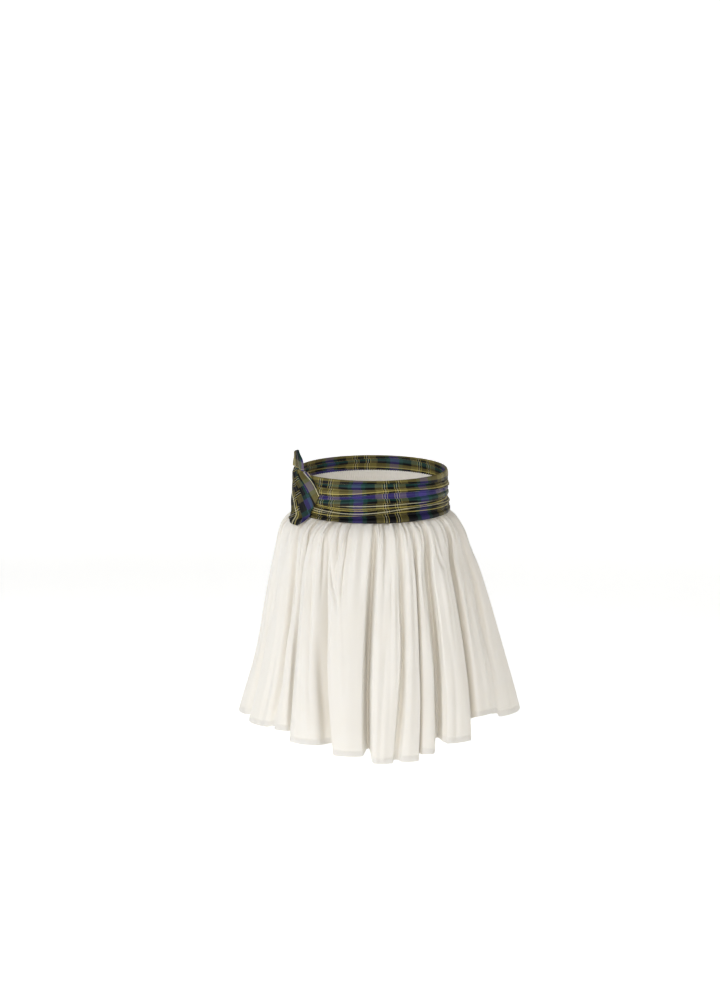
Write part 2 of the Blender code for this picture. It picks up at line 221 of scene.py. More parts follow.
# The first and the last column of a panel, and the way from each of them to its neighbour.
SIDE_EDGES = ((0, 1), (-1, -1))

# A panel's top edge runs up outside the band that it is sewn to, and hangs free from FREE_AT on.
FREE_AT = 0.025

# The hem: turned under once, behind the panel's last HEM_TURNED_ROWS rows, and stitched at a
# height of HEM_STITCH_UP over its fold, where the thread draws a groove.
HEM_FOLD_RADIUS = 0.5
HEM_FOLD_STEPS = 3
HEM_TURNED_ROWS = 6
HEM_STITCH_UP = 9.0
HEM_GROOVE = 0.35
HEM_GROOVE_WIDTH = 1.3

# The seam at each side: the two panels' edges are pressed open behind it, from the row
# ALLOWANCE_START to the part ALLOWANCE_END of the rows. Each panel ends SEAM_OPEN short of it.
ALLOWANCE_WIDTH = 9.0
ALLOWANCE_COLUMNS = 5
ALLOWANCE_BEHIND = 0.25
ALLOWANCE_START = 6
ALLOWANCE_END = 0.96
SEAM_OPEN = 0.05

# Creases of the panels. Start and end are parts of the way from the band to the hem. A place is the
# number of a fold plus the share of the way across it, given where the crease starts, halfway down
# it and where it ends. The width and the depth are in millimetres, and a ridge has a negative
# depth. It fades in over its lead and out over its tail. CREASE_RIM is how strongly the cloth
# beside a crease rises the other way.
Crease = namedtuple("Crease", "name start end at_start at_middle at_end width depth lead tail")
FRONT_CREASES = (
    Crease("right side trough", 0.12, 0.98, 0.55, 0.60, 0.62, 8.0, 2.6, 0.3, 0.3),
    Crease("right hip trough", 0.10, 1.05, 1.30, 1.34, 1.30, 7.0, 3.0, 0.3, 0.1),
    Crease("right hip ridge", 0.15, 0.90, 1.46, 1.47, 1.48, 5.0, -1.8, 0.3, 0.4),
    Crease("right hip second trough", 0.20, 1.05, 1.68, 1.66, 1.62, 7.0, 3.0, 0.3, 0.1),
    Crease("soft dark hollow", 0.24, 0.62, 2.30, 2.36, 2.40, 6.5, 3.6, 0.15, 0.2),
    Crease("thin ridge trough", 0.22, 0.75, 2.45, 2.52, 2.50, 6.0, 1.4, 0.2, 0.3),
    Crease("short dark crease", -0.05, 0.44, 3.84, 3.85, 3.80, 3.6, 3.4, 0.05, 0.25),
    Crease("pleat bright line", 0.10, 0.80, 3.44, 3.43, 3.44, 3.5, -2.0, 0.1, 0.4),
    Crease("pleat low trough", 0.40, 1.05, 3.74, 3.84, 3.84, 15.0, 7.0, 0.4, 0.1),
    Crease("pleat left swell", 0.35, 1.05, 3.44, 3.42, 3.40, 9.0, -2.4, 0.3, 0.1),
    Crease("pleat upper hollow", 0.06, 0.62, 3.64, 3.62, 3.60, 12.0, 5.0, 0.2, 0.3),
    Crease("broad panel gather", -0.05, 0.26, 4.33, 4.36, 4.40, 2.2, 3.4, 0.05, 0.12),
    Crease("broad panel second gather", -0.05, 0.40, 4.45, 4.47, 4.45, 2.6, 4.2, 0.05, 0.1),
    Crease("rounded end", 0.16, 0.41, 4.32, 4.35, 4.43, 3.0, 4.4, 0.12, 0.04),
    Crease("swell in the rounded end", 0.10, 0.36, 4.40, 4.41, 4.42, 4.0, -2.6, 0.1, 0.08),
    Crease("broad panel swell", 0.30, 1.05, 4.55, 4.52, 4.50, 16.0, -1.6, 0.4, 0.1),
    Crease("middle top crease", -0.05, 0.42, 5.42, 5.43, 5.42, 3.0, 3.4, 0.05, 0.3),
    Crease("middle bright ridge", 0.25, 1.05, 5.36, 5.37, 5.34, 5.0, -1.8, 0.3, 0.1),
    Crease("middle slanting trough", 0.35, 1.05, 5.52, 5.47, 5.42, 5.0, 1.6, 0.3, 0.1),
    Crease("left of middle ridge", 0.02, 1.05, 6.38, 6.42, 6.42, 6.0, -1.4, 0.2, 0.1),
    Crease("pleat slanting crease", 0.08, 0.30, 8.34, 8.40, 8.66, 2.2, 3.2, 0.05, 0.08),
    Crease("pleat slanting ridge", 0.09, 0.33, 8.42, 8.50, 8.72, 2.8, -1.8, 0.05, 0.1),
    Crease("left pleat trough", 0.25, 1.05, 8.52, 8.47, 8.44, 6.5, 1.9, 0.3, 0.1),
    Crease("left pleat ridge", 0.15, 0.80, 8.62, 8.57, 8.55, 5.0, -1.2, 0.2, 0.4),
    Crease("left hip hollow", 0.02, 0.50, 9.10, 9.12, 9.16, 7.0, 3.4, 0.1, 0.25),
    Crease("left hip trough", 0.15, 0.85, 9.36, 9.40, 9.42, 9.0, 1.2, 0.3, 0.4),
    Crease("left hip low trough", 0.45, 1.05, 9.62, 9.60, 9.58, 11.0, 1.2, 0.3, 0.1),
    Crease("left side trough", 0.30, 1.05, 10.45, 10.42, 10.40, 9.0, 1.0, 0.3, 0.1),
)
BACK_CREASES = (
    Crease("left corner trough", 0.15, 1.05, 11.48, 11.46, 11.44, 9.0, 1.9, 0.3, 0.1),
    Crease("back 2 short crease", -0.05, 0.40, 12.40, 12.42, 12.46, 3.2, 2.4, 0.05, 0.25),
    Crease("back 2 ridge", 0.30, 1.05, 12.52, 12.50, 12.48, 6.0, -1.4, 0.3, 0.1),
    Crease("back 3 trough", 0.20, 0.80, 13.55, 13.50, 13.48, 7.0, 1.8, 0.3, 0.4),
    Crease("back 3 short crease", -0.05, 0.28, 13.42, 13.40, 13.40, 2.8, 2.4, 0.05, 0.2),
    Crease("back 4 slanting crease", 0.06, 0.32, 14.38, 14.46, 14.62, 2.6, 2.2, 0.05, 0.1),
    Crease("back 4 low trough", 0.40, 1.05, 14.46, 14.50, 14.52, 9.0, 1.9, 0.3, 0.1),
    Crease("back 5 ridge", 0.15, 0.95, 15.50, 15.47, 15.45, 5.0, -1.5, 0.3, 0.4),
    Crease("back 6 short crease", -0.05, 0.46, 16.46, 16.44, 16.42, 3.2, 2.6, 0.05, 0.2),
    Crease("back 6 trough", 0.35, 1.05, 16.60, 16.56, 16.55, 8.0, 1.8, 0.3, 0.1),
    Crease("back 6 swell", 0.30, 1.05, 16.38, 16.40, 16.40, 9.0, -1.5, 0.3, 0.1),
    Crease("back 7 trough", 0.10, 0.75, 17.52, 17.48, 17.44, 6.0, 2.0, 0.2, 0.4),
    Crease("back 7 low ridge", 0.50, 1.05, 17.50, 17.54, 17.56, 7.0, -1.4, 0.3, 0.1),
    Crease("back 8 short crease", -0.05, 0.33, 18.45, 18.47, 18.50, 2.8, 2.2, 0.05, 0.2),
    Crease("back 8 trough", 0.40, 1.05, 18.56, 18.54, 18.52, 7.0, 1.6, 0.3, 0.1),
    Crease("back 9 trough", 0.15, 1.05, 19.40, 19.44, 19.46, 8.0, 1.9, 0.3, 0.1),
    Crease("back 9 slanting crease", 0.05, 0.30, 19.66, 19.58, 19.46, 2.6, 2.2, 0.05, 0.1),
    Crease("right corner trough", 0.20, 1.05, 20.50, 20.47, 20.46, 9.0, 1.8, 0.3, 0.1),
)
CREASE_RIM = 0.55

# Creases drawn at random within limits: small gathers where the skirt is sewn to the band, fine
# ones that run on below them, long soft folds, and broader ones towards the hem. Each fades in over
# the part FAMILY_LEAD of its length and out over FAMILY_TAIL.
Family = namedtuple("Family", "number starts lengths widths depths drift")
FAMILIES = (
    Family(60, (-0.12, -0.03), (0.10, 0.36), (1.9, 3.8), (2.0, 5.6), 0.03),
    Family(20, (-0.05, 0.25), (0.30, 0.75), (2.6, 3.8), (1.2, 3.2), 0.08),
    Family(34, (0.02, 0.30), (0.40, 0.90), (4.5, 8.0), (-3.6, 3.6), 0.14),
    Family(26, (0.30, 0.65), (0.40, 0.80), (8.0, 13.0), (-5.0, 5.0), 0.16),
)
FAMILY_SEED = 7
FAMILY_LEAD = 0.35
FAMILY_TAIL = 0.6

# The band: its elastic draws the cloth into fine upright ruching, held by two rows of stitches.
# The ruches slant by RUCHE_STRAY, in radians round the waist for each metre of height.
BAND_FINE_COLUMNS = 760
BAND_FINE_ROWS = 14
RUCHES = 152
RUCHE_DEPTH = 0.45
RUCHE_STRAY = 1.5
BAND_STITCH_HEIGHTS = (-10.0, 10.5)
BAND_STITCH_PROUD = 0.2

# A stitch of white thread.
STITCH_SPACING = 3.3
STITCH_LENGTH = 2.5
STITCH_THICK = 0.5

# The sash as cloth: its mesh, whose rows lie closer within SASH_EDGE of an edge, and the second
# slow wander of its creases. The middle of a violet bar across the sash lies at SASH_BAR_AT.
SASH_FINE_COLUMNS = 320
SASH_EDGE = 1.5
SASH_FINE_ROWS = (
    RowSpan(SASH_BOTTOM, SASH_BOTTOM + SASH_EDGE, 4),
    RowSpan(SASH_BOTTOM + SASH_EDGE, SASH_TOP - SASH_EDGE, 110),
    RowSpan(SASH_TOP - SASH_EDGE, SASH_TOP, 4),
)
SASH_SEAM_AT = -78.0
SASH_BAR_AT = -13.5
SECOND_WANDER = 2.0
SECOND_WAVES = 2
SECOND_SLANT = 3.0
SASH_FIRST_SHOWS = 52.5

# The pleats in which the sash lies. At a pleat's height the layer above stands out over the one
# below, has slid along by a shift, and shows the tartan from its own place on. Its edge sways by
# PLEAT_SWAY on its way round, its depth swings by the part PLEAT_SWING, and what shows changes over
# it the faster the larger PLEAT_EDGE is. A groove runs GROOVE_BELOW under the edge. PLEAT_PEAK makes
# the height of its swell one.
Pleat = namedtuple("Pleat", "height depth width shows shift waves start")
SASH_PLEATS = (
    Pleat(-21.0, 2.0, 1.5, 60.2, 2.0, 2, 310.0),
    Pleat(-14.5, 1.4, 1.3, 65.2, -3.0, 3, 200.0),
    Pleat(-8.0, 1.6, 1.3, 62.2, 2.0, 2, 120.0),
    Pleat(-1.0, 2.2, 1.6, 96.6, -2.0, 3, 10.0),
    Pleat(8.0, 1.5, 1.4, 113.0, 3.0, 4, 80.0),
    Pleat(15.0, 2.0, 1.5, 67.9, -1.0, 2, 250.0),
    Pleat(24.0, 1.4, 1.4, 97.0, 2.0, 3, 150.0),
    Pleat(31.5, 1.8, 1.5, 27.0, -3.0, 2, 20.0),
)
PLEAT_EDGE = 1.6
PLEAT_SWAY = 1.7
PLEAT_GROOVE = 2.4
GROOVE_BELOW = 1.4
GROOVE_WIDTH = 1.3
THINNEST_FOLD = 0.8
PLEAT_SWING = 0.4
PLEAT_PEAK = math.sqrt(2.0 * math.e)

# The wrap and the free end as cloth. Each of the wrap's pleats, counted from WRAP_FIRST_PLEAT on
# towards its upper edge, shows the tartan from its own place on and lies WRAP_SLIDE further along
# than the one below it. WRAP_BAR sets where the tartan's bars cross it. A groove runs between the
# pleats, and each is ridged by WRAP_FINE_PLEATS finer ones.
STRIP_EDGE_ROUND = 1.0
THINNEST_EDGE = 0.1
WAVE_LEAN = 0.9
WRAP_FINE_ROWS = 150
WRAP_FINE_COLUMNS = 110
WRAP_WIDTH = 95.0
WRAP_FINE_RISE = 0.35
WRAP_GROOVE = 4.2
WRAP_GROOVE_WIDTH = 2.4
WRAP_FINE_PLEATS = 3.0
WRAP_WANDER = 0.2
WRAP_WANDER_LENGTH = 80.0
WRAP_FIRST_PLEAT = -13
WRAP_BAR = 69.0
WRAP_SLIDE = 21.0
WRAP_SHOWS = (20.0, 60.0, 15.0, 84.0, 43.5, 88.0, 91.0, 26.0, 65.0, 72.0, 84.0)

# The free end's folds move on by one in each END_TWIST of height. Above END_CROWN_FROM its corners
# sink, by END_CROWN at the top. It shows the tartan from END_SHOWS on, and END_BAR sets where the
# bars cross it.
END_FINE_ROWS = 50
END_FINE_COLUMNS = 30
END_WIDTH = 35.0
END_FOLDS = 2.5
END_TWIST = 40.0
END_FOLD_RISE = 0.8
END_CROWN = 3.5
END_CROWN_FROM = 58.0
END_SHOWS = 66.0
END_BAR = 24.0

# The tartan: the stripes of half a repeat, from one turning point to the next, the same in the
# warp and in the weft. Widths in millimetres.
Stripe = namedtuple("Stripe", "colour width")
TARTAN = (
    Stripe("violet", 8.0),
    Stripe("green", 7.0),
    Stripe("ink", 16.0),
    Stripe("olive", 12.0),
    Stripe("gold", 1.2),
    Stripe("ink", 2.6),
    Stripe("cream", 1.2),
    Stripe("ink", 2.6),
    Stripe("gold", 1.2),
    Stripe("ink", 6.0),
)
DYES = {
    "ink": "#0A0A0D",
    "violet": "#463E82",
    "green": "#1F4641",
    "cream": "#E2DCB8",
    "olive": "#756C3C",
    "gold": "#C9BA68",
}

# What was cut for each stretch of cloth that shows, before it was gathered: its width and length
# in metres, and its area where the cut flares.
Cut = namedtuple("Cut", "flat area")
FRONT_CUT = Cut((1.32, 0.42), 0.40)
BACK_CUT = Cut((1.27, 0.41), 0.36)
SASH_CUT = Cut((0.74, 0.09), None)
WRAP_CUT = Cut((0.11, 0.09), None)
END_CUT = Cut((0.045, 0.035), None)

# The finish of a cloth or a thread: how high its relief is in millimetres and how much of it is the
# weave's beside the slubs', the roughness of its smoothest yarns and how much rougher others are,
# its sheen, the sheen's roughness and its gloss.
Finish = namedtuple("Finish", "relief weave smoothest swing sheen sheen_roughness gloss")
COTTON_FINISH = Finish(0.06, 0.25, 0.62, 0.06, 0.25, 0.4, 0.4)
TARTAN_FINISH = Finish(0.1, 0.3, 0.34, 0.08, 0.02, 0.35, 0.15)
THREAD_FINISH = Finish(0.05, 0.0, 0.45, 0.1, 0.0, 0.5, 0.5)

# The cotton, its sizes in millimetres. The part COTTON_THROUGH of the light goes into the cloth and
# comes out up to COTTON_SCATTER away, red the furthest. Slubs are SLUB_STRETCH as wide as long.
COTTON_WHITE = "#F0EDE6"
COTTON_SHADE = "#EBE6DC"
COTTON_THROUGH = 0.28
COTTON_SCATTER = 3.0
SCATTER_BY_COLOUR = (1.0, 0.9, 0.76)
POPLIN_THREAD = 0.7
SLUB_STRETCH = 0.08
SLUB_WIDTH = 1.6
SLUB_DETAIL = 2.0
PATCH_WIDTH = 90.0
PATCH_DETAIL = 3.0

# The tartan's twill: the warp shows for WARP_SHARE, and for TWILL_CONTRAST more or less from one
# thread to the next.
TWILL_THREAD = 1.3
TWILL_CONTRAST = 0.18
WARP_SHARE = 0.6

# The sewing thread, and how many sides a stitch has round it and along it.
THREAD_WHITE = "#F7F4EC"
THREAD_SHADE = "#DAD5C8"
THREAD_STRAND = 0.3
THREAD_DETAIL = 1.0
STITCH_SEGMENTS = 6
STITCH_RINGS = 4

# The studio's paper. It is lit from behind too, so that it is white without lamps near it.
PAPER_WHITE = "#F5F5F4"
PAPER_SHADE = "#F2F2F1"
PAPER_ROUGHNESS = 0.9
PAPER_PATCHES_A_METRE = 3.0
PAPER_DETAIL = 2.0
PAPER_GLOW = 0.68

# The studio, in metres and degrees. The floor lies where the wearer would stand, and sweeps up all
# round into a wall.
FLOOR_DROP = 0.825
FLOOR_RADIUS = 7.0
SWEEP_RADIUS = 1.6
WALL_TOP = 1.8
FLOOR_STEPS = 96
SWEEP_STEPS = 16
CAMERA_AT = (-0.021, -5.4747, 0.5121)
CAMERA_DOWN = 5.438
CAMERA_LENS = 117.3
SKIRT_MIDDLE = (0.01, 0.0, -0.19)
Lamp = namedtuple("Lamp", "name at size watts colour")
LAMPS = (
    Lamp("key", (-3.0, -3.7, 2.4), 0.7, 80.0, "#F0F6FF"),
    Lamp("front", (-0.9, -6.1, 1.3), 1.4, 68.0, "#FFF2E2"),
    Lamp("rim", (3.4, 1.8, 1.4), 1.2, 18.0, "#FFF4E6"),
    Lamp("back", (-1.6, 3.4, 2.4), 1.6, 52.0, "#FFFFFF"),
)
STUDIO_AIR = "#FFFFFF"
STUDIO_AIR_STRENGTH = 0.12


def blend(low, high, share):
    """Return the value a share of the way from low to high."""
    return low + (high - low) * share


def ease(share):
    """Return a share held between 0 and 1 that starts and ends gently."""
    held = np.clip(share, 0.0, 1.0)
    return held * held * (3.0 - 2.0 * held)


def through_three(top, middle, hem, fall):
    """Return the value at a fall of the smooth curve through the top, MIDDLE and hem values."""
    by_top = (fall - MIDDLE) * (fall - 1.0) / MIDDLE
    by_middle = fall * (fall - 1.0) / (MIDDLE * (MIDDLE - 1.0))
    by_hem = fall * (fall - MIDDLE) / (1.0 - MIDDLE)
    return top * by_top + middle * by_middle + hem * by_hem


def table_curve(rows, key, name, at):
    """Return the smooth curve through one column of a table, read where its key column equals at."""
    keys = np.array([getattr(row, key) for row in rows], float)
    values = np.array([getattr(row, name) for row in rows], float)
    slopes = np.gradient(values, keys)
    held = np.clip(at, keys[0], keys[-1])
    first = np.clip(np.searchsorted(keys, held, side="right") - 1, 0, len(keys) - 2)
    span = keys[first + 1] - keys[first]
    share = (held - keys[first]) / span
    bend = slopes[first] * (1.0 - share) - slopes[first + 1] * share
    return blend(values[first], values[first + 1], ease(share)) + share * (1.0 - share) * span * bend


def oval_radius(azimuth, left, right, front, back):
    """Return the distance from the middle to an oval with four half sizes."""
    side = np.sin(np.radians(azimuth))
    ahead = np.cos(np.radians(azimuth))
    half_width = np.where(side > 0, right, left)
    half_depth = np.where(ahead > 0, front, back)
    return 1.0 / np.hypot(side / half_width, ahead / half_depth)


def waist_radius(azimuth, out):
    """Return the distance from the middle to the waist's oval, moved out."""
    width = WAIST_HALF_WIDTH + out
    depth = WAIST_HALF_DEPTH + out
    return oval_radius(azimuth, width, width, depth, depth)


def skirt_outline(azimuth, drop):
    """Return the distance from the middle to the skirt's outline at a drop."""
    sizes = [table_curve(OUTLINE, "drop", name, drop) for name in ("left", "right", "front", "back")]
    return oval_radius(azimuth, *sizes)


def belt_points(azimuth, radius, height):
    """Return the points at a height over the sloping belt line."""
    x = radius * np.sin(np.radians(azimuth))
    y = -radius * np.cos(np.radians(azimuth))
    return np.stack(np.broadcast_arrays(x, y, WAIST_SLOPE * y + height), axis=-1)


def fold_column(name, index):
    """Return one column of the fold table at whole numbers, which may run past one turn."""
    values = np.array([getattr(fold, name) for fold in FOLDS], float)
    return values[index % len(FOLDS)]


def valley_azimuth(index, fall):
    """Return the azimuth of the valley before a fold, at a fall from 0, the band, to 1, the hem."""
    row = [fold_column(name, index) for name in ("top", "middle", "hem")]
    return through_three(*row, fall) + TURN * (index // len(FOLDS))


def valley_depth(index, fall):
    """Return how deep the valley before a fold lies below the outline at a fall."""
    row = [fold_column(name, index) for name in ("deep_middle", "deep_hem")]
    depth = through_three(GATHER_DEPTH, *row, fall)
    return np.minimum(depth, blend(KNEE_DEPTH, depth, PAST_KNEE))


def crest_length(index):
    """Return the length of a fold's crest from the band to the hem."""
    azimuth = (valley_azimuth(index, 0.0) + valley_azimuth(index + 1, 0.0)) / 2.0
    top = belt_points(azimuth, skirt_outline(azimuth, 0.0), -BAND_HEIGHT / 2.0 - SEAM_GAP)
    return top[..., 2] - fold_column("hem_z", index)


def valley_length(index):
    """Return the length of the valley before a fold: a little shorter than the crests beside it."""
    beside = (crest_length(index - 1) + crest_length(index)) / 2.0
    return beside - VALLEY_HEM_LIFT * fold_column("deep_hem", index)


def gather_depth(index, across, fall):
    """Return how deep the short gathers at the top press into a fold's crest."""
    gathers = fold_column("gathers", index)
    nearest = np.round(across * gathers)
    away = np.abs(across * gathers - nearest)
    trough = 0.5 + 0.5 * np.cos(2.0 * np.pi * away)
    between_valleys = (nearest > 0) & (nearest < gathers)
    fade = 1.0 - ease(fall / fold_column("reach", index))
    growth = 1.0 + GATHER_GROWTH * ease(fall / GATHER_GROWN_AT)
    return np.where(between_valleys, trough * fade * growth, 0.0) * GATHER_DEPTH


def fold_side(share, side_width):
    """Return how far along and how high up a fold's side a share of it lies, from its valley."""
    turn = np.pi * np.clip(share, 0.0, 1.0)
    along = side_width * (turn / np.pi + SIDE_STEEPNESS * np.sin(2.0 * turn) / (2.0 * np.pi))
    return along, (1.0 - np.cos(turn)) / 2.0


def skirt_points(position, fall):
    """Return points of the skirt's outer face.

    A position is the number of a fold plus the share of the way across it. A fall is a part of the
    way from the band to the hem.
    """
    index = np.floor(position).astype(int)
    place = position - index
    start = valley_azimuth(index, fall)
    end = valley_azimuth(index + 1, fall)
    middle_radius = skirt_outline((start + end) / 2.0, fall * crest_length(index))
    degrees_a_mm = np.degrees(1.0 / middle_radius)
    width = (end - start) / degrees_a_mm

    opened = ease(fall / OPEN_AT)
    closed_side = CLOSED_SIDE * width / fold_column("gathers", index)
    widest_side = WIDEST_SIDE * width
    first_side = np.minimum(blend(closed_side, fold_column("after", index), opened), widest_side)
    last_side = np.minimum(blend(closed_side, fold_column("before", index + 1), opened), widest_side)
    first_along, first_rise = fold_side(place / SIDE_SHARE, first_side)
    last_along, last_rise = fold_side((1.0 - place) / SIDE_SHARE, last_side)
    crest_share = np.clip((place - SIDE_SHARE) / (1.0 - 2.0 * SIDE_SHARE), 0.0, 1.0)
    crest_width = width - first_side - last_side
    along = first_along + crest_share * crest_width + last_side - last_along
    rise = np.minimum(first_rise, last_rise)

    across = along / width
    lean = blend(fold_column("lean", index), fold_column("lean", index + 1), ease(across))
    azimuth = start + (along + lean * opened * rise) * degrees_a_mm
    rounding = CREST_ROUNDING * width / 2.0 * (2.0 * across - 1.0) ** 2
    crest_below = (fold_column("inside", index) + rounding) * opened + gather_depth(index, across, fall)
    nearest_valley = index + (place > 0.5)
    depth = blend(valley_depth(nearest_valley, fall), crest_below, rise)

    drop = fall * blend(valley_length(nearest_valley), crest_length(index), rise)
    radius = skirt_outline(azimuth, drop) - depth
    top_radius = skirt_outline(azimuth, 0.0) - np.minimum(depth, GATHER_DEPTH)
    top = belt_points(azimuth, top_radius, -BAND_HEIGHT / 2.0 - SEAM_GAP)
    points = np.array(belt_points(azimuth, radius, 0.0))
    points[..., 2] = top[..., 2] - drop
    return points


def lengths_of(vectors):
    """Return the length of each vector, shaped so that it divides them."""
    return np.linalg.norm(vectors, axis=-1, keepdims=True)


def ring_azimuths(columns):
    """Return evenly spaced azimuths round one turn, as a row."""
    return np.linspace(0.0, TURN, columns, endpoint=False)[None, :]


def grid_normals(points):
    """Return the outward normal at each point of a grid of rows and columns."""
    normal = np.cross(np.gradient(points, axis=0), np.gradient(points, axis=1))
    return normal / lengths_of(normal)


def spans_of(spans):
    """Return the values that a table of spans steps through."""
    parts = [np.linspace(span.start, span.end, span.steps, endpoint=False) for span in spans]
    return np.append(np.concatenate(parts), spans[-1].end)


def even_positions(first_fold, last_fold, columns):
    """Return positions across a panel that lie evenly along its cloth."""
    dense = np.linspace(first_fold, last_fold, SPREAD_STEPS * (last_fold - first_fold) + 1)
    length = np.zeros(len(dense))
    for fall in SPREAD_FALLS:
        steps = lengths_of(np.diff(skirt_points(dense, np.full(len(dense), fall)), axis=0))
        length[1:] += np.cumsum(steps)
    return np.interp(np.linspace(0.0, length[-1], columns), length, dense)


def drawn_creases(first_fold, last_fold):
    """Return the creases of a panel that are drawn at random."""
    draw = np.random.default_rng(FAMILY_SEED + first_fold)
    creases = []
    for family in FAMILIES:
        places = np.linspace(first_fold, last_fold, family.number + 2)[1:-1]
        places = places + draw.uniform(-0.5, 0.5, family.number) * (places[1] - places[0])
        for place in places:
            start = draw.uniform(*family.starts)
            length = draw.uniform(*family.lengths)
            drift = draw.uniform(-family.drift, family.drift)
            width = draw.uniform(*family.widths)
            depth = draw.uniform(*family.depths)
            at = (place, place + drift / 2.0, place + drift)
            fades = (FAMILY_LEAD * length, FAMILY_TAIL * length)
            creases.append(Crease("drawn", start, start + length, *at, width, depth, *fades))
    return creases


def crease_lift(crease, position, fall, mm_a_position):
    """Return how far a crease moves the cloth out."""
    share = np.clip((fall - crease.start) / (crease.end - crease.start), 0.0, 1.0)
    at = blend(crease.at_start, crease.at_end, share)
    bow = crease.at_middle - (crease.at_start + crease.at_end) / 2.0
    at = at + 4.0 * bow * share * (1.0 - share)
    across = ((position - at) * mm_a_position / crease.width) ** 2
    fade = ease((fall - crease.start) / crease.lead) * ease((crease.end - fall) / crease.tail)
    return -crease.depth * fade * (1.0 - CREASE_RIM * across) * np.exp(-across)


def outside_band(outer, fall):
    """Return a panel's outer face with its top held out past the band that it is sewn to."""
    azimuth = np.degrees(np.arctan2(outer[..., 0], -outer[..., 1]))
    radius = np.hypot(outer[..., 0], outer[..., 1])
    least = waist_radius(azimuth, BAND_WALL + RUCHE_DEPTH + SEAM_GAP + COTTON_THICK)
    held = blend(radius, np.maximum(radius, least), ease(1.0 - fall / FREE_AT))
    moved = outer.copy()
    moved[..., :2] *= (held / radius)[..., None]
    return moved


def panel_cloth(first_fold, last_fold, creases):
    """Return the middle points and the normals of a panel's cloth, down to its hem's fold."""
    position = even_positions(first_fold, last_fold, PANEL_COLUMNS)[None, :]
    fall = spans_of(PANEL_ROWS)[:, None]
    outer = skirt_points(position, fall)
    across = skirt_points(position + SLOPE_STEP, fall) - skirt_points(position - SLOPE_STEP, fall)
    mm_a_position = lengths_of(across)[..., 0] / (2.0 * SLOPE_STEP)
    lift = np.zeros(outer.shape[:2])
    for crease in list(creases) + drawn_creases(first_fold, last_fold):
        lift = lift + crease_lift(crease, position, fall, mm_a_position)
    up = (1.0 - fall) * crest_length(np.floor(position).astype(int))
    lift = lift - HEM_GROOVE * np.exp(-(((up - HEM_STITCH_UP) / HEM_GROOVE_WIDTH) ** 2))
    for column, way in SIDE_EDGES:
        outer[:, column] += way * SEAM_OPEN * across[:, column] / lengths_of(across[:, column])
    outer = outside_band(outer + grid_normals(outer) * lift[..., None], fall)
    normal = grid_normals(outer)
    return outer - normal * COTTON_THICK / 2.0, normal


def turned_under(middle, normal):
    """Return a panel's middle points and normals with the hem folded up behind the panel."""
    down = middle[-1] - middle[-2]
    down = down / lengths_of(down)
    pivot = middle[-1] - normal[-1] * HEM_FOLD_RADIUS
    middles = [middle]
    normals = [normal]
    for step in range(1, HEM_FOLD_STEPS + 1):
        turn = math.pi * step / (HEM_FOLD_STEPS + 1)
        facing = normal[-1] * math.cos(turn) + down * math.sin(turn)
        middles.append((pivot + HEM_FOLD_RADIUS * facing)[None])
        normals.append(facing[None])
    behind = middle - 2.0 * HEM_FOLD_RADIUS * normal
    middles.append(behind[: -HEM_TURNED_ROWS - 1 : -1])
    normals.append(-normal[: -HEM_TURNED_ROWS - 1 : -1])
    return np.concatenate(middles), np.concatenate(normals)


def seam_allowance(middle, normal, column, way):
    """Return the middle points and normals of the edge that is pressed back behind a seam."""
    rows = slice(ALLOWANCE_START, int(ALLOWANCE_END * len(middle)))
    middle = middle[rows]
    normal = normal[rows, column]
    along = middle[:, column + way] - middle[:, column]
    along = along / lengths_of(along)
    back = middle[:, column] - normal * (COTTON_THICK + ALLOWANCE_BEHIND)
    widths = np.linspace(0.0, ALLOWANCE_WIDTH, ALLOWANCE_COLUMNS)[:: way]
    points = np.stack([back + along * width for width in widths], axis=1)
    return points, np.repeat(normal[:, None], ALLOWANCE_COLUMNS, axis=1)


def cloth_uv(middle):
    """Return how far across and how far down the cloth each point of a grid lies."""
    across = np.zeros(middle.shape[:2])
    across[:, 1:] = np.cumsum(lengths_of(np.diff(middle, axis=1))[..., 0], axis=1)
    across -= across.mean(axis=1, keepdims=True)
    down = np.zeros(middle.shape[:2])
    down[1:] = np.cumsum(lengths_of(np.diff(middle, axis=0))[..., 0], axis=0)
    return np.stack([across, down], axis=-1)


def quads_of(grid):
    """Return the quads between the neighbours of a grid of numbers."""
    corners = (grid[:-1, :-1], grid[1:, :-1], grid[1:, 1:], grid[:-1, 1:])
    return np.stack(corners, axis=-1).reshape(-1, 4)


def wall_faces(rows, columns, ring):
    """Return the faces of a wall between outer and inner points, and the same faces of its UV map."""
    flat = np.arange(2 * rows * (columns + ring)).reshape(2, rows, columns + ring)
    points = np.arange(2 * rows * columns).reshape(2, rows, columns)
    if ring:
        points = np.concatenate([points, points[:, :, :1]], axis=2)
    faces = []
    for grid in (points, flat):
        outer, inner = grid
        parts = [quads_of(outer), quads_of(inner)[:, ::-1]]
        parts.append(quads_of(np.stack([inner[0], outer[0]])))
        parts.append(quads_of(np.stack([outer[-1], inner[-1]])))
        if not ring:
            parts.append(quads_of(np.stack([inner[:, 0], outer[:, 0]], axis=1)))
            parts.append(quads_of(np.stack([outer[:, -1], inner[:, -1]], axis=1)))
        faces.append(np.concatenate(parts))
    return faces


def wall_of(middle, normal, thick, uv, ring):
    """Return the points, faces and UV corners of a wall with its middle, normals and thickness."""
    half = normal * thick / 2.0
    rows, columns = middle.shape[:2]
    points = np.concatenate([middle + half, middle - half]).reshape(-1, 3)
    faces, corners = wall_faces(rows, columns, ring)
    flat_uv = np.concatenate([uv, uv]).reshape(-1, 2)
    return points, faces, flat_uv[corners]


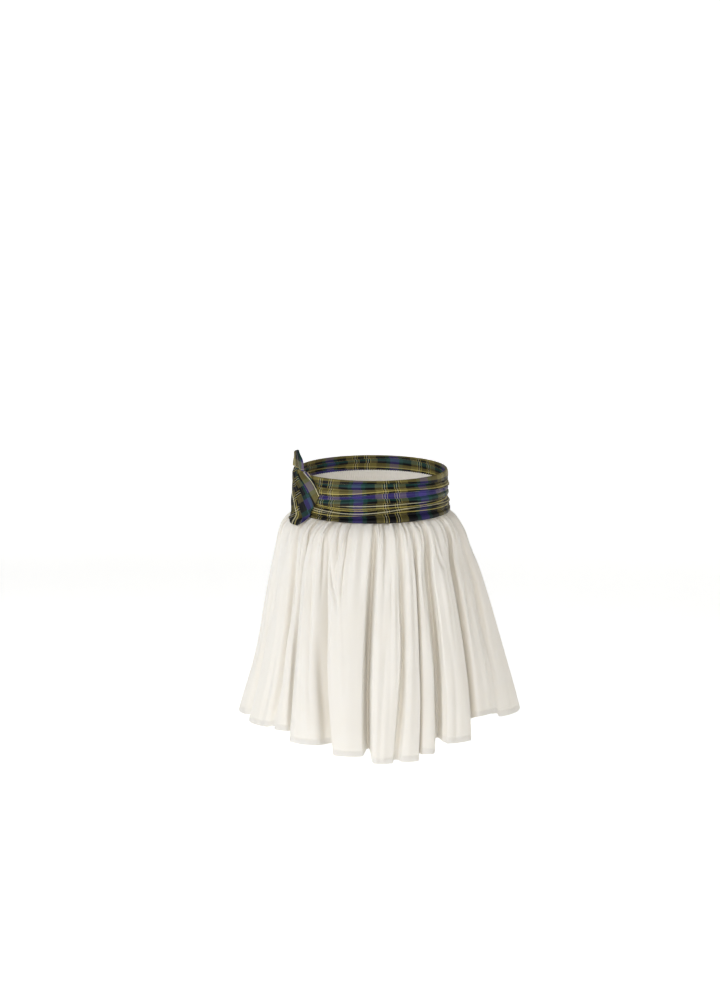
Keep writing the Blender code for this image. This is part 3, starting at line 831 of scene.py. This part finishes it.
def joined(walls):
    """Return several walls' points, faces and UV corners as one."""
    starts = np.cumsum([0] + [len(wall[0]) for wall in walls[:-1]])
    points = np.concatenate([wall[0] for wall in walls])
    faces = np.concatenate([wall[1] + start for wall, start in zip(walls, starts)])
    return points, faces, np.concatenate([wall[2] for wall in walls])


def add_object(name, data):
    """Add an object with its data to the scene, at the origin."""
    added = bpy.data.objects.new(name, data)
    bpy.context.scene.collection.objects.link(added)
    return added


def add_cloth(name, wall, material):
    """Add a piece of cloth from its points, faces and UV corners, in millimetres."""
    points, faces, corners = wall
    mesh = bpy.data.meshes.new(name)
    mesh.from_pydata((points * MM).tolist(), [], faces.tolist())
    layer = mesh.uv_layers.new(name="UVMap")
    layer.data.foreach_set("uv", (corners * MM).astype(np.float32).ravel())
    mesh.shade_smooth()
    mesh.set_sharp_from_angle(angle=math.radians(SMOOTH_BELOW))
    mesh.materials.append(material)
    return add_object(name, mesh)


def ring_normals(points):
    """Return the outward normal at each point of a grid whose columns run round one turn."""
    padded = np.concatenate([points[:, -1:], points, points[:, :1]], axis=1)
    return grid_normals(padded)[:, 1:-1]


def rounded_edge(distance, radius):
    """Return the part of its thickness that a wall has at a distance from its rounded edge."""
    short = 1.0 - np.clip(distance / radius, 0.0, 1.0)
    return np.maximum(np.sqrt(1.0 - short**2), THINNEST_EDGE)


def ring_uv(middle, across):
    """Return the UV map of a ring: the way round it, with its first column again at the end."""
    row = middle[len(middle) // 2]
    steps = lengths_of(np.diff(np.concatenate([row, row[:1]]), axis=0))[:, 0]
    round_it = np.concatenate([[0.0], np.cumsum(steps)])[None, :]
    across = np.concatenate([across, across[:, :1]], axis=1)
    return np.stack(np.broadcast_arrays(round_it, across), axis=-1)


def sash_points(azimuth, height, out):
    """Return points at a height and a distance out of the waist, with the sash's wandering creases."""
    first = CREASE_WANDER * np.sin(np.radians(CREASE_WAVES * azimuth + CREASE_START))
    second = SECOND_WANDER * np.sin(np.radians(SECOND_WAVES * azimuth + SECOND_SLANT * height))
    over_lower = ease((height - SASH_BOTTOM) / CREASE_EDGE)
    under_upper = ease((SASH_TOP - height) / CREASE_EDGE)
    wander = (first + second) * over_lower * under_upper
    return belt_points(azimuth, waist_radius(azimuth, out), height + wander)


def sash_pleats(azimuth, height):
    """Return how far the sash's pleats move it out, what shows there and how far it has slid."""
    lift = 0.0
    slid = 0.0
    shown = SASH_FIRST_SHOWS + height - SASH_BOTTOM
    for pleat in SASH_PLEATS:
        angle = np.radians(pleat.waves * azimuth + pleat.start)
        over = height - pleat.height - PLEAT_SWAY * np.cos(angle)
        across = over / pleat.width
        depth = pleat.depth * (1.0 - PLEAT_SWING + PLEAT_SWING * np.sin(angle))
        lift = lift + depth * PLEAT_PEAK * across * np.exp(-(across**2))
        lift = lift - PLEAT_GROOVE * np.exp(-(((over + GROOVE_BELOW) / GROOVE_WIDTH) ** 2))
        passed = ease(0.5 + across * PLEAT_EDGE)
        shown = blend(shown, pleat.shows + over, passed)
        slid = slid + pleat.shift * passed
    return np.maximum(lift, THINNEST_FOLD - SASH_WALL), shown, slid


def sash_band_wall():
    """Return the wall of the sash where it lies round the waist."""
    height = spans_of(SASH_FINE_ROWS)[::-1, None]
    azimuth = SASH_SEAM_AT + ring_azimuths(SASH_FINE_COLUMNS)
    lift, shown, slid = sash_pleats(azimuth, height)
    out = table_curve(SASH_ROWS, "height", "out", height)
    outer = sash_points(azimuth, height, out + lift)
    inner = sash_points(azimuth, height, out - SASH_WALL)
    middle = (outer + inner) / 2.0
    span = lengths_of(outer - inner)
    to_edge = np.minimum(height - SASH_BOTTOM, SASH_TOP - height)
    thick = span * rounded_edge(to_edge, SASH_WALL / 2.0)[..., None]
    uv = ring_uv(middle, shown)
    bar = np.argmin(np.abs(azimuth[0] - SASH_BAR_AT))
    uv[..., 0] += np.concatenate([slid, slid[:, :1]], axis=1) - uv[0, bar, 0]
    return wall_of(middle, (outer - inner) / span, thick, uv, True)


def leaning_wave(turns):
    """Return a wave that rises faster than it falls."""
    angle = 2.0 * np.pi * turns
    return np.sin(angle + WAVE_LEAN * np.sin(angle))


def strip_places(rows, fine_rows, fine_columns):
    """Return a strip's heights, shares across, azimuths, distances out and thicknesses."""
    height = np.linspace(rows[-1].height, rows[0].height, fine_rows)[:, None]
    share = np.linspace(0.0, 1.0, fine_columns)[None, :]
    curves = [table_curve(rows, "height", name, height) for name in ("start", "end", "out", "thick")]
    start, end, out, thick = curves
    return height, share, blend(start, end, share), out, thick


def strip_wall(height, azimuth, out, thick, uv):
    """Return the wall of a strip of sash from its inner distance out and its thickness."""
    inner = belt_points(azimuth, waist_radius(azimuth, out), height)
    outer = belt_points(azimuth, waist_radius(azimuth, out + thick), height)
    span = lengths_of(outer - inner)
    return wall_of((outer + inner) / 2.0, (outer - inner) / span, span, uv, False)


def end_roundness(share, height, rows, width):
    """Return the part of its thickness that a strip has near its four edges."""
    to_side = np.minimum(share, 1.0 - share) * width
    to_end = np.minimum(height - rows[0].height, rows[-1].height - height)
    return rounded_edge(np.minimum(to_side, to_end), STRIP_EDGE_ROUND)


def sash_wrap_wall():
    """Return the wall of the stretch of sash that crosses the band slantwise."""
    height, share, azimuth, out, thick = strip_places(WRAP_ROWS, WRAP_FINE_ROWS, WRAP_FINE_COLUMNS)
    along = np.radians(azimuth) * WAIST_HALF_WIDTH
    slant = np.radians(WRAP_PLEAT_ANGLE)
    lengthwise = along * np.cos(slant) - height * np.sin(slant)
    wander = WRAP_WANDER * np.sin(2.0 * np.pi * lengthwise / WRAP_WANDER_LENGTH)
    over_pleats = (along * np.sin(slant) + height * np.cos(slant)) / WRAP_PLEAT + wander
    edge = ease(np.minimum(share, 1.0 - share) / WRAP_EDGE_SHARE)
    thick = blend(WRAP_EDGE_THICK, thick, edge) + WRAP_PLEAT_RISE * edge * leaning_wave(over_pleats)
    thick = thick + WRAP_FINE_RISE * edge * leaning_wave(WRAP_FINE_PLEATS * over_pleats + share)
    to_groove = (over_pleats - np.round(over_pleats)) * WRAP_PLEAT / WRAP_GROOVE_WIDTH
    thick = np.maximum(thick - WRAP_GROOVE * edge * np.exp(-(to_groove**2)), THINNEST_FOLD)
    thick = thick * end_roundness(share, height, WRAP_ROWS, WRAP_WIDTH)
    pleat = np.floor(over_pleats).astype(int) - WRAP_FIRST_PLEAT
    shows = np.array(WRAP_SHOWS)[np.clip(pleat, 0, len(WRAP_SHOWS) - 1)]
    slid = lengthwise + WRAP_BAR + pleat * WRAP_SLIDE
    uv = np.stack([slid, shows + over_pleats % 1.0 * WRAP_PLEAT], axis=-1)
    return strip_wall(height, azimuth, out, thick, uv)


def sash_end_wall():
    """Return the wall of the free end of the sash, softly folded lengthwise."""
    height, share, azimuth, out, thick = strip_places(END_ROWS, END_FINE_ROWS, END_FINE_COLUMNS)
    folds = np.sin(2.0 * np.pi * (END_FOLDS * share + height / END_TWIST))
    to_side = (2.0 * share - 1.0) ** 2
    thick = thick + END_FOLD_RISE * folds
    thick = thick * end_roundness(share, height, END_ROWS, END_WIDTH)
    along = np.radians(azimuth) * WAIST_HALF_WIDTH
    shown = END_SHOWS + along - along.min()
    uv = np.stack(np.broadcast_arrays(height + END_BAR, shown), axis=-1)
    crowned = ease((height - END_CROWN_FROM) / (END_ROWS[-1].height - END_CROWN_FROM))
    height = height - END_CROWN * crowned * to_side
    return strip_wall(height, azimuth, out + END_CUP * to_side, thick, uv)


def waistband_wall():
    """Return the wall of the band before its elastic ruches it."""
    height = np.linspace(BAND_HEIGHT / 2.0, -BAND_HEIGHT / 2.0, BAND_FINE_ROWS)[:, None]
    azimuth = ring_azimuths(BAND_FINE_COLUMNS)
    middle = belt_points(azimuth, waist_radius(azimuth, BAND_WALL / 2.0), height)
    normal = ring_normals(middle)
    thick = BAND_WALL * rounded_edge(BAND_HEIGHT / 2.0 - np.abs(height), BAND_WALL / 2.0)
    uv = ring_uv(middle, np.broadcast_to(height, middle.shape[:2]))
    return wall_of(middle, normal, thick[..., None], uv, True)


def hem_path(middle, normal):
    """Return the line on a panel's outer face along which its hem is stitched."""
    up = cloth_uv(middle)[..., 1]
    up = up[-1] - up
    path = []
    for column in range(middle.shape[1]):
        above = np.searchsorted(-up[:, column], -HEM_STITCH_UP)
        share = (up[above - 1, column] - HEM_STITCH_UP) / (up[above - 1, column] - up[above, column])
        on_cloth = blend(middle[above - 1, column], middle[above, column], share)
        path.append(on_cloth + normal[above, column] * COTTON_THICK / 2.0)
    return np.array(path)


def band_path(height, out):
    """Return the line round the waistband at a height and a distance out of the waist."""
    azimuth = ring_azimuths(BAND_FINE_COLUMNS)
    return belt_points(azimuth, waist_radius(azimuth, out), height)[0]


def linear(hex_colour):
    """Return a linear RGBA colour from an sRGB hex value."""
    values = [int(hex_colour[start : start + 2], 16) / 255.0 for start in (1, 3, 5)]
    return (*[v / 12.92 if v <= 0.04045 else ((v + 0.055) / 1.055) ** 2.4 for v in values], 1.0)


def add_node(tree, kind, inputs=(), **settings):
    """Add a node with its settings, and set each of its inputs to a value or link it to a socket.

    A socket goes by its name or its number. In a Mix node of colours, the share is input 0, the
    colours are inputs 6 and 7, and the result is output 2.
    """
    node = tree.nodes.new(kind)
    for name, value in settings.items():
        setattr(node, name, value)
    for key, value in dict(inputs).items():
        if isinstance(value, bpy.types.NodeSocket):
            tree.links.new(value, node.inputs[key])
        else:
            node.inputs[key].default_value = value
    return node


def new_material(name):
    """Add an empty material and return it with its node tree."""
    material = bpy.data.materials.new(name)
    material.use_nodes = True
    material.node_tree.nodes.clear()
    return material, material.node_tree


def clouded(tree, scale, detail, shade, white):
    """Return a noise in a piece's own space, and the colour that goes from shade to white with it."""
    at = add_node(tree, "ShaderNodeTexCoord").outputs["Object"]
    clouds = {"Vector": at, "Scale": scale, "Detail": detail}
    noise = add_node(tree, "ShaderNodeTexNoise", clouds).outputs[0]
    ends = {0: noise, 6: linear(shade), 7: linear(white)}
    return noise, add_node(tree, "ShaderNodeMix", ends, data_type="RGBA").outputs[2]


def finish_material(tree, colour, weave, streaks, finish, constants=()):
    """End a cloth's or a thread's material in its shader.

    The relief follows the weave and the streaks, the roughness the streaks alone. What is the same
    all over the surface is set on the shader's own sockets.
    """
    raised = {0: weave, 1: finish.weave, 2: streaks}
    height = add_node(tree, "ShaderNodeMath", raised, operation="MULTIPLY_ADD").outputs[0]
    bump = {"Height": height, "Distance": finish.relief * MM, "Strength": 1.0}
    rough = {0: streaks, 1: finish.swing, 2: finish.smoothest}
    inputs = {
        "Base Color": colour,
        "Normal": add_node(tree, "ShaderNodeBump", bump).outputs[0],
        "Roughness": add_node(tree, "ShaderNodeMath", rough, operation="MULTIPLY_ADD").outputs[0],
        "Sheen Weight": finish.sheen,
        "Sheen Roughness": finish.sheen_roughness,
        "Specular IOR Level": finish.gloss,
        **dict(constants),
    }
    shader = add_node(tree, "ShaderNodeBsdfPrincipled", inputs)
    add_node(tree, "ShaderNodeOutputMaterial", {"Surface": shader.outputs["BSDF"]})


def thread_wave(tree, place, spacing):
    """Return the rise and fall of threads that lie a spacing in millimetres apart."""
    scale = {0: place, 1: 2.0 * math.pi / (spacing * MM)}
    turns = add_node(tree, "ShaderNodeMath", scale, operation="MULTIPLY")
    return add_node(tree, "ShaderNodeMath", {0: turns.outputs[0]}, operation="SINE").outputs[0]


def slub_streaks(tree, uv):
    """Return the short streaks that uneven yarns leave along both ways of a weave."""
    ways = []
    for stretch in ((1.0, SLUB_STRETCH, 1.0), (SLUB_STRETCH, 1.0, 1.0)):
        along = add_node(tree, "ShaderNodeVectorMath", {0: uv, 1: stretch}, operation="MULTIPLY")
        streak = {"Vector": along.outputs[0], "Scale": 1.0 / (SLUB_WIDTH * MM), "Detail": SLUB_DETAIL}
        ways.append(add_node(tree, "ShaderNodeTexNoise", streak).outputs[0])
    return add_node(tree, "ShaderNodeMath", {0: ways[0], 1: ways[1]}, operation="ADD").outputs[0]


def cotton_material():
    """Cotton poplin: plain woven, bleached to a warm white and pressed.

    The tight weave gives the eye an even, matt white with a soft low sheen on the crests. Light
    that passes through the single layer warms the valleys. The threads are drawn at
    POPLIN_THREAD, wider than the real 0.25 mm, so that they show close to.
    """
    material, tree = new_material("white_cotton_poplin")
    uv = add_node(tree, "ShaderNodeUVMap", uv_map="UVMap").outputs[0]
    place = add_node(tree, "ShaderNodeSeparateXYZ", {0: uv})
    warp = thread_wave(tree, place.outputs[0], POPLIN_THREAD)
    weft = thread_wave(tree, place.outputs[1], POPLIN_THREAD)
    weave = add_node(tree, "ShaderNodeMath", {0: warp, 1: weft}, operation="MULTIPLY").outputs[0]
    # Washed cotton's white is softly uneven, a hand's width across.
    patches = 1.0 / (PATCH_WIDTH * MM)
    base = clouded(tree, patches, PATCH_DETAIL, COTTON_SHADE, COTTON_WHITE)[1]
    scatter = {
        "Subsurface Weight": COTTON_THROUGH,
        "Subsurface Radius": SCATTER_BY_COLOUR,
        "Subsurface Scale": COTTON_SCATTER * MM,
    }
    finish_material(tree, base, weave, slub_streaks(tree, uv), COTTON_FINISH, scatter)
    return material


def stripe_colours(tree, place):
    """Return the tartan's colour at a place along one of its ways, mirrored at each half repeat."""
    half = sum(stripe.width for stripe in TARTAN)
    folded = {0: place, 1: half * MM}
    back_and_forth = add_node(tree, "ShaderNodeMath", folded, operation="PINGPONG").outputs[0]
    share = add_node(tree, "ShaderNodeMath", folded | {0: back_and_forth}, operation="DIVIDE").outputs[0]
    ramp = add_node(tree, "ShaderNodeValToRGB", {0: share})
    ramp.color_ramp.interpolation = "CONSTANT"
    stops = ramp.color_ramp.elements
    stops.remove(stops[1])
    start = 0.0
    for number, stripe in enumerate(TARTAN):
        stop = stops[0] if number == 0 else stops.new(start / half)
        stop.color = linear(DYES[stripe.colour])
        start += stripe.width
    return ramp.outputs[0]


def tartan_material():
    """Tartan in a satiny twill of dyed yarns, the same stripes in the warp and in the weft.

    Stripes darken or lighten where they cross; the warp, whose stripes run along the sash, shows a
    little more than the weft. The smooth yarns give the folds a sharper light than cotton has. The
    twill's diagonal is drawn at TWILL_THREAD, wider than the real 0.6 mm, so that it shows close to.
    """
    material, tree = new_material("dyed_tartan_twill")
    uv = add_node(tree, "ShaderNodeUVMap", uv_map="UVMap").outputs[0]
    place = add_node(tree, "ShaderNodeSeparateXYZ", {0: uv})
    weft = stripe_colours(tree, place.outputs[0])
    warp = stripe_colours(tree, place.outputs[1])
    slant = {0: place.outputs[0], 1: place.outputs[1]}
    diagonal = add_node(tree, "ShaderNodeMath", slant, operation="ADD").outputs[0]
    twill = thread_wave(tree, diagonal, TWILL_THREAD)
    spread = {0: twill, 1: TWILL_CONTRAST, 2: WARP_SHARE}
    warp_up = add_node(tree, "ShaderNodeMath", spread, operation="MULTIPLY_ADD", use_clamp=True)
    both = {0: warp_up.outputs[0], 6: weft, 7: warp}
    colour = add_node(tree, "ShaderNodeMix", both, data_type="RGBA").outputs[2]
    finish_material(tree, colour, twill, slub_streaks(tree, uv), TARTAN_FINISH)
    return material


def thread_material():
    """Spun polyester sewing thread, white, a little smoother and brighter than the cloth."""
    material, tree = new_material("white_sewing_thread")
    strands = 1.0 / (THREAD_STRAND * MM)
    strand, base = clouded(tree, strands, THREAD_DETAIL, THREAD_SHADE, THREAD_WHITE)
    finish_material(tree, base, strand, strand, THREAD_FINISH)
    return material


def studio_material():
    """Matt pale paper, as a studio's floor is covered with."""
    material, tree = new_material("studio_paper")
    base = clouded(tree, PAPER_PATCHES_A_METRE, PAPER_DETAIL, PAPER_SHADE, PAPER_WHITE)[1]
    inputs = {
        "Base Color": base,
        "Roughness": PAPER_ROUGHNESS,
        "Emission Color": base,
        "Emission Strength": PAPER_GLOW,
    }
    shader = add_node(tree, "ShaderNodeBsdfPrincipled", inputs)
    add_node(tree, "ShaderNodeOutputMaterial", {"Surface": shader.outputs["BSDF"]})
    material.cycles.emission_sampling = "NONE"
    return material


def new_tree(name, inputs):
    """Add a Geometry Nodes tree with named inputs, and return it with the group's input node."""
    tree = bpy.data.node_groups.new(name, "GeometryNodeTree")
    tree.interface.new_socket("Geometry", in_out="INPUT", socket_type="NodeSocketGeometry")
    for label, kind in inputs.items():
        tree.interface.new_socket(label, in_out="INPUT", socket_type=kind)
    tree.interface.new_socket("Geometry", in_out="OUTPUT", socket_type="NodeSocketGeometry")
    return tree, add_node(tree, "NodeGroupInput")


def finish_tree(tree, geometry, material):
    """End a tree in real geometry of one material."""
    real = add_node(tree, "GeometryNodeRealizeInstances", {0: geometry}).outputs[0]
    smooth = add_node(tree, "GeometryNodeSetShadeSmooth", {0: real}).outputs[0]
    dressed = add_node(tree, "GeometryNodeSetMaterial", {"Geometry": smooth, "Material": material})
    add_node(tree, "NodeGroupOutput", {0: dressed.outputs[0]})


def stitch_tree():
    """Stitches along a line: short swells of thread, evenly spaced, each turned along the line.

    Each is a ball one metre across, scaled to a stitch's length and thickness.
    """
    inputs = {
        "Spacing": "NodeSocketFloat",
        "Length": "NodeSocketFloat",
        "Thickness": "NodeSocketFloat",
        "Material": "NodeSocketMaterial",
    }
    tree, given = new_tree("stitches_along_a_line", inputs)
    line = add_node(tree, "GeometryNodeMeshToCurve", {0: given.outputs["Geometry"]}).outputs[0]
    even = {"Curve": line, "Length": given.outputs["Spacing"]}
    places = add_node(tree, "GeometryNodeResampleCurve", even, mode="LENGTH").outputs[0]
    tangent = add_node(tree, "GeometryNodeInputTangent").outputs[0]
    turn = add_node(tree, "FunctionNodeAlignRotationToVector", {"Vector": tangent}, axis="X").outputs[0]
    across = given.outputs["Thickness"]
    size = add_node(tree, "ShaderNodeCombineXYZ", {0: given.outputs["Length"], 1: across, 2: across})
    shape = {"Segments": STITCH_SEGMENTS, "Rings": STITCH_RINGS, "Radius": 0.5}
    swell = add_node(tree, "GeometryNodeMeshUVSphere", shape).outputs["Mesh"]
    rows = {"Points": places, "Instance": swell, "Rotation": turn, "Scale": size.outputs[0]}
    stitches = add_node(tree, "GeometryNodeInstanceOnPoints", rows).outputs[0]
    finish_tree(tree, stitches, given.outputs["Material"])
    return tree


def ruching_tree():
    """Upright ruching: a band's faces swell and sink along their normals, many times round it."""
    inputs = {"Ruches": "NodeSocketFloat", "Depth": "NodeSocketFloat", "Material": "NodeSocketMaterial"}
    tree, given = new_tree("elastic_ruching", inputs)
    position = add_node(tree, "GeometryNodeInputPosition").outputs[0]
    at = add_node(tree, "ShaderNodeSeparateXYZ", {0: position})
    angle = add_node(tree, "ShaderNodeMath", {0: at.outputs[1], 1: at.outputs[0]}, operation="ARCTAN2")
    stray = {0: at.outputs[2], 1: RUCHE_STRAY}
    strayed = add_node(tree, "ShaderNodeMath", stray | {2: angle.outputs[0]}, operation="MULTIPLY_ADD")
    turns = {0: strayed.outputs[0], 1: given.outputs["Ruches"]}
    turned = add_node(tree, "ShaderNodeMath", turns, operation="MULTIPLY").outputs[0]
    wave = add_node(tree, "ShaderNodeMath", {0: turned}, operation="SINE").outputs[0]
    swell = {0: wave, 1: given.outputs["Depth"]}
    rise = add_node(tree, "ShaderNodeMath", swell, operation="MULTIPLY").outputs[0]
    outward = {0: add_node(tree, "GeometryNodeInputNormal").outputs[0], "Scale": rise}
    moved = add_node(tree, "ShaderNodeVectorMath", outward, operation="SCALE").outputs[0]
    shifted = {"Geometry": given.outputs["Geometry"], "Offset": moved}
    ruched = add_node(tree, "GeometryNodeSetPosition", shifted).outputs[0]
    finish_tree(tree, ruched, given.outputs["Material"])
    return tree


def grown(piece, tree, values):
    """Run a tree on a piece with its named inputs set, and keep the result as the piece's mesh."""
    modifier = piece.modifiers.new(tree.name, "NODES")
    modifier.node_group = tree
    for item in tree.interface.items_tree:
        if item.in_out == "INPUT" and item.name in values:
            modifier[item.identifier] = values[item.name]
    evaluated = piece.evaluated_get(bpy.context.evaluated_depsgraph_get())
    mesh = bpy.data.meshes.new_from_object(evaluated)
    piece.modifiers.remove(modifier)
    piece.data = mesh
    mesh.name = piece.name
    return piece


def add_stitches(name, path, closed, tree, material):
    """Add a row of stitches along a line of points in millimetres."""
    edges = [(number, number + 1) for number in range(len(path) - 1)]
    if closed:
        edges.append((len(path) - 1, 0))
    mesh = bpy.data.meshes.new(name)
    mesh.from_pydata((path * MM).tolist(), edges, [])
    piece = add_object(name, mesh)
    values = {
        "Spacing": STITCH_SPACING * MM,
        "Length": STITCH_LENGTH * MM,
        "Thickness": STITCH_THICK * MM,
        "Material": material,
    }
    return grown(piece, tree, values)


def add_floor():
    """Add the studio's floor, a disc of paper that sweeps up into a wall all round."""
    turns = np.linspace(0.0, math.pi / 2.0, SWEEP_STEPS)
    radii = FLOOR_RADIUS + SWEEP_RADIUS * np.sin(turns)
    heights = SWEEP_RADIUS * (1.0 - np.cos(turns)) - FLOOR_DROP
    line = [(0.0, 0.0, -FLOOR_DROP)]
    line += [(radius, 0.0, height) for radius, height in zip(radii, heights)]
    line.append((radii[-1], 0.0, WALL_TOP))
    shape = bmesh.new()
    profile = [shape.verts.new(point) for point in line]
    edges = [shape.edges.new(pair) for pair in zip(profile, profile[1:])]
    axis = {"cent": (0.0, 0.0, 0.0), "axis": (0.0, 0.0, 1.0)}
    turn = {"angle": 2.0 * math.pi, "steps": FLOOR_STEPS, "use_merge": True}
    bmesh.ops.spin(shape, geom=profile + edges, **axis, **turn)
    bmesh.ops.remove_doubles(shape, verts=shape.verts, dist=WELD * MM)
    bmesh.ops.recalc_face_normals(shape, faces=shape.faces)
    mesh = bpy.data.meshes.new("studio_floor")
    shape.to_mesh(mesh)
    shape.free()
    mesh.shade_smooth()
    mesh.materials.append(studio_material())
    add_object("studio_floor", mesh)


def add_lights():
    """Add the soft lamps, each turned to the skirt, and the little light of the room."""
    for lamp in LAMPS:
        light = bpy.data.lights.new(lamp.name, "AREA")
        light.size = lamp.size
        light.energy = lamp.watts
        light.color = linear(lamp.colour)[:3]
        stand = add_object(lamp.name, light)
        stand.location = lamp.at
        facing = Vector(SKIRT_MIDDLE) - Vector(lamp.at)
        stand.rotation_euler = facing.to_track_quat("-Z", "Y").to_euler()
    world = bpy.data.worlds.new("white_room")
    world.use_nodes = True
    air = world.node_tree.nodes["Background"]
    air.inputs["Color"].default_value = linear(STUDIO_AIR)
    air.inputs["Strength"].default_value = STUDIO_AIR_STRENGTH
    bpy.context.scene.world = world
    bpy.context.scene.view_settings.view_transform = "Standard"


def add_camera():
    """Add the camera where the photograph was taken from, turned up from looking straight down."""
    camera = bpy.data.cameras.new("camera")
    camera.lens = CAMERA_LENS
    stand = add_object("camera", camera)
    stand.location = CAMERA_AT
    stand.rotation_euler = (math.radians(TURN / 4.0 - CAMERA_DOWN), 0.0, 0.0)
    bpy.context.scene.camera = stand


def dress(piece, slot, *nodes):
    """Let a piece ride on the part and stand for its solids. The slot is not used."""
    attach(piece, "root")
    if nodes:
        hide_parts(*nodes)


def add_panel(name, node, folds, creases, material, stitches, thread):
    """Add a panel of the skirt with its turned hem, its seam allowances and its hem's stitches."""
    middle, normal = panel_cloth(*folds, creases)
    hemmed, facing = turned_under(middle, normal)
    walls = [wall_of(hemmed, facing, COTTON_THICK, cloth_uv(hemmed), False)]
    for column, way in SIDE_EDGES:
        edge, facing = seam_allowance(middle, normal, column, way)
        walls.append(wall_of(edge, facing, COTTON_THICK, cloth_uv(edge), False))
    panel = add_cloth(name, joined(walls), material)
    hem = add_stitches(name + "_hem_stitches", hem_path(middle, normal), False, stitches, thread)
    dress(panel, "white_cotton", node)
    dress(hem, "white_cotton")
    return panel, hem


def main():
    """Build every piece and the studio."""
    cotton = cotton_material()
    tartan = tartan_material()
    thread = thread_material()
    stitches = stitch_tree()
    front_folds = len(FRONT_FOLDS)
    panels = (
        ("skirt_front_cloth", "skirt_front", (0, front_folds), FRONT_CREASES, FRONT_CUT),
        ("skirt_back_cloth", "skirt_back", (front_folds, len(FOLDS)), BACK_CREASES, BACK_CUT),
    )
    for name, node, folds, creases, cut in panels:
        panel, hem = add_panel(name, node, folds, creases, cotton, stitches, thread)

    band = add_cloth("waistband_cloth", waistband_wall(), cotton)
    ruches = {"Ruches": float(RUCHES), "Depth": RUCHE_DEPTH * MM, "Material": cotton}
    grown(band, ruching_tree(), ruches)
    dress(band, "white_cotton", "waistband")
    rows = []
    for number, height in enumerate(BAND_STITCH_HEIGHTS):
        path = band_path(height, -BAND_STITCH_PROUD)
        rows.append(add_stitches(f"waistband_stitches_{number + 1}", path, True, stitches, thread))
        dress(rows[-1], "white_cotton")

    sash = (
        ("sash_band_cloth", "sash_band", sash_band_wall(), SASH_CUT, "waistband"),
        ("sash_wrap_cloth", "sash_wrap", sash_wrap_wall(), WRAP_CUT, "sash_band"),
        ("sash_end_cloth", "sash_end", sash_end_wall(), END_CUT, "sash_wrap"),
    )
    for name, node, wall, cut, under in sash:
        piece = add_cloth(name, wall, tartan)
        dress(piece, "tartan_cloth", node)

    add_floor()
    add_lights()
    add_camera()


main()
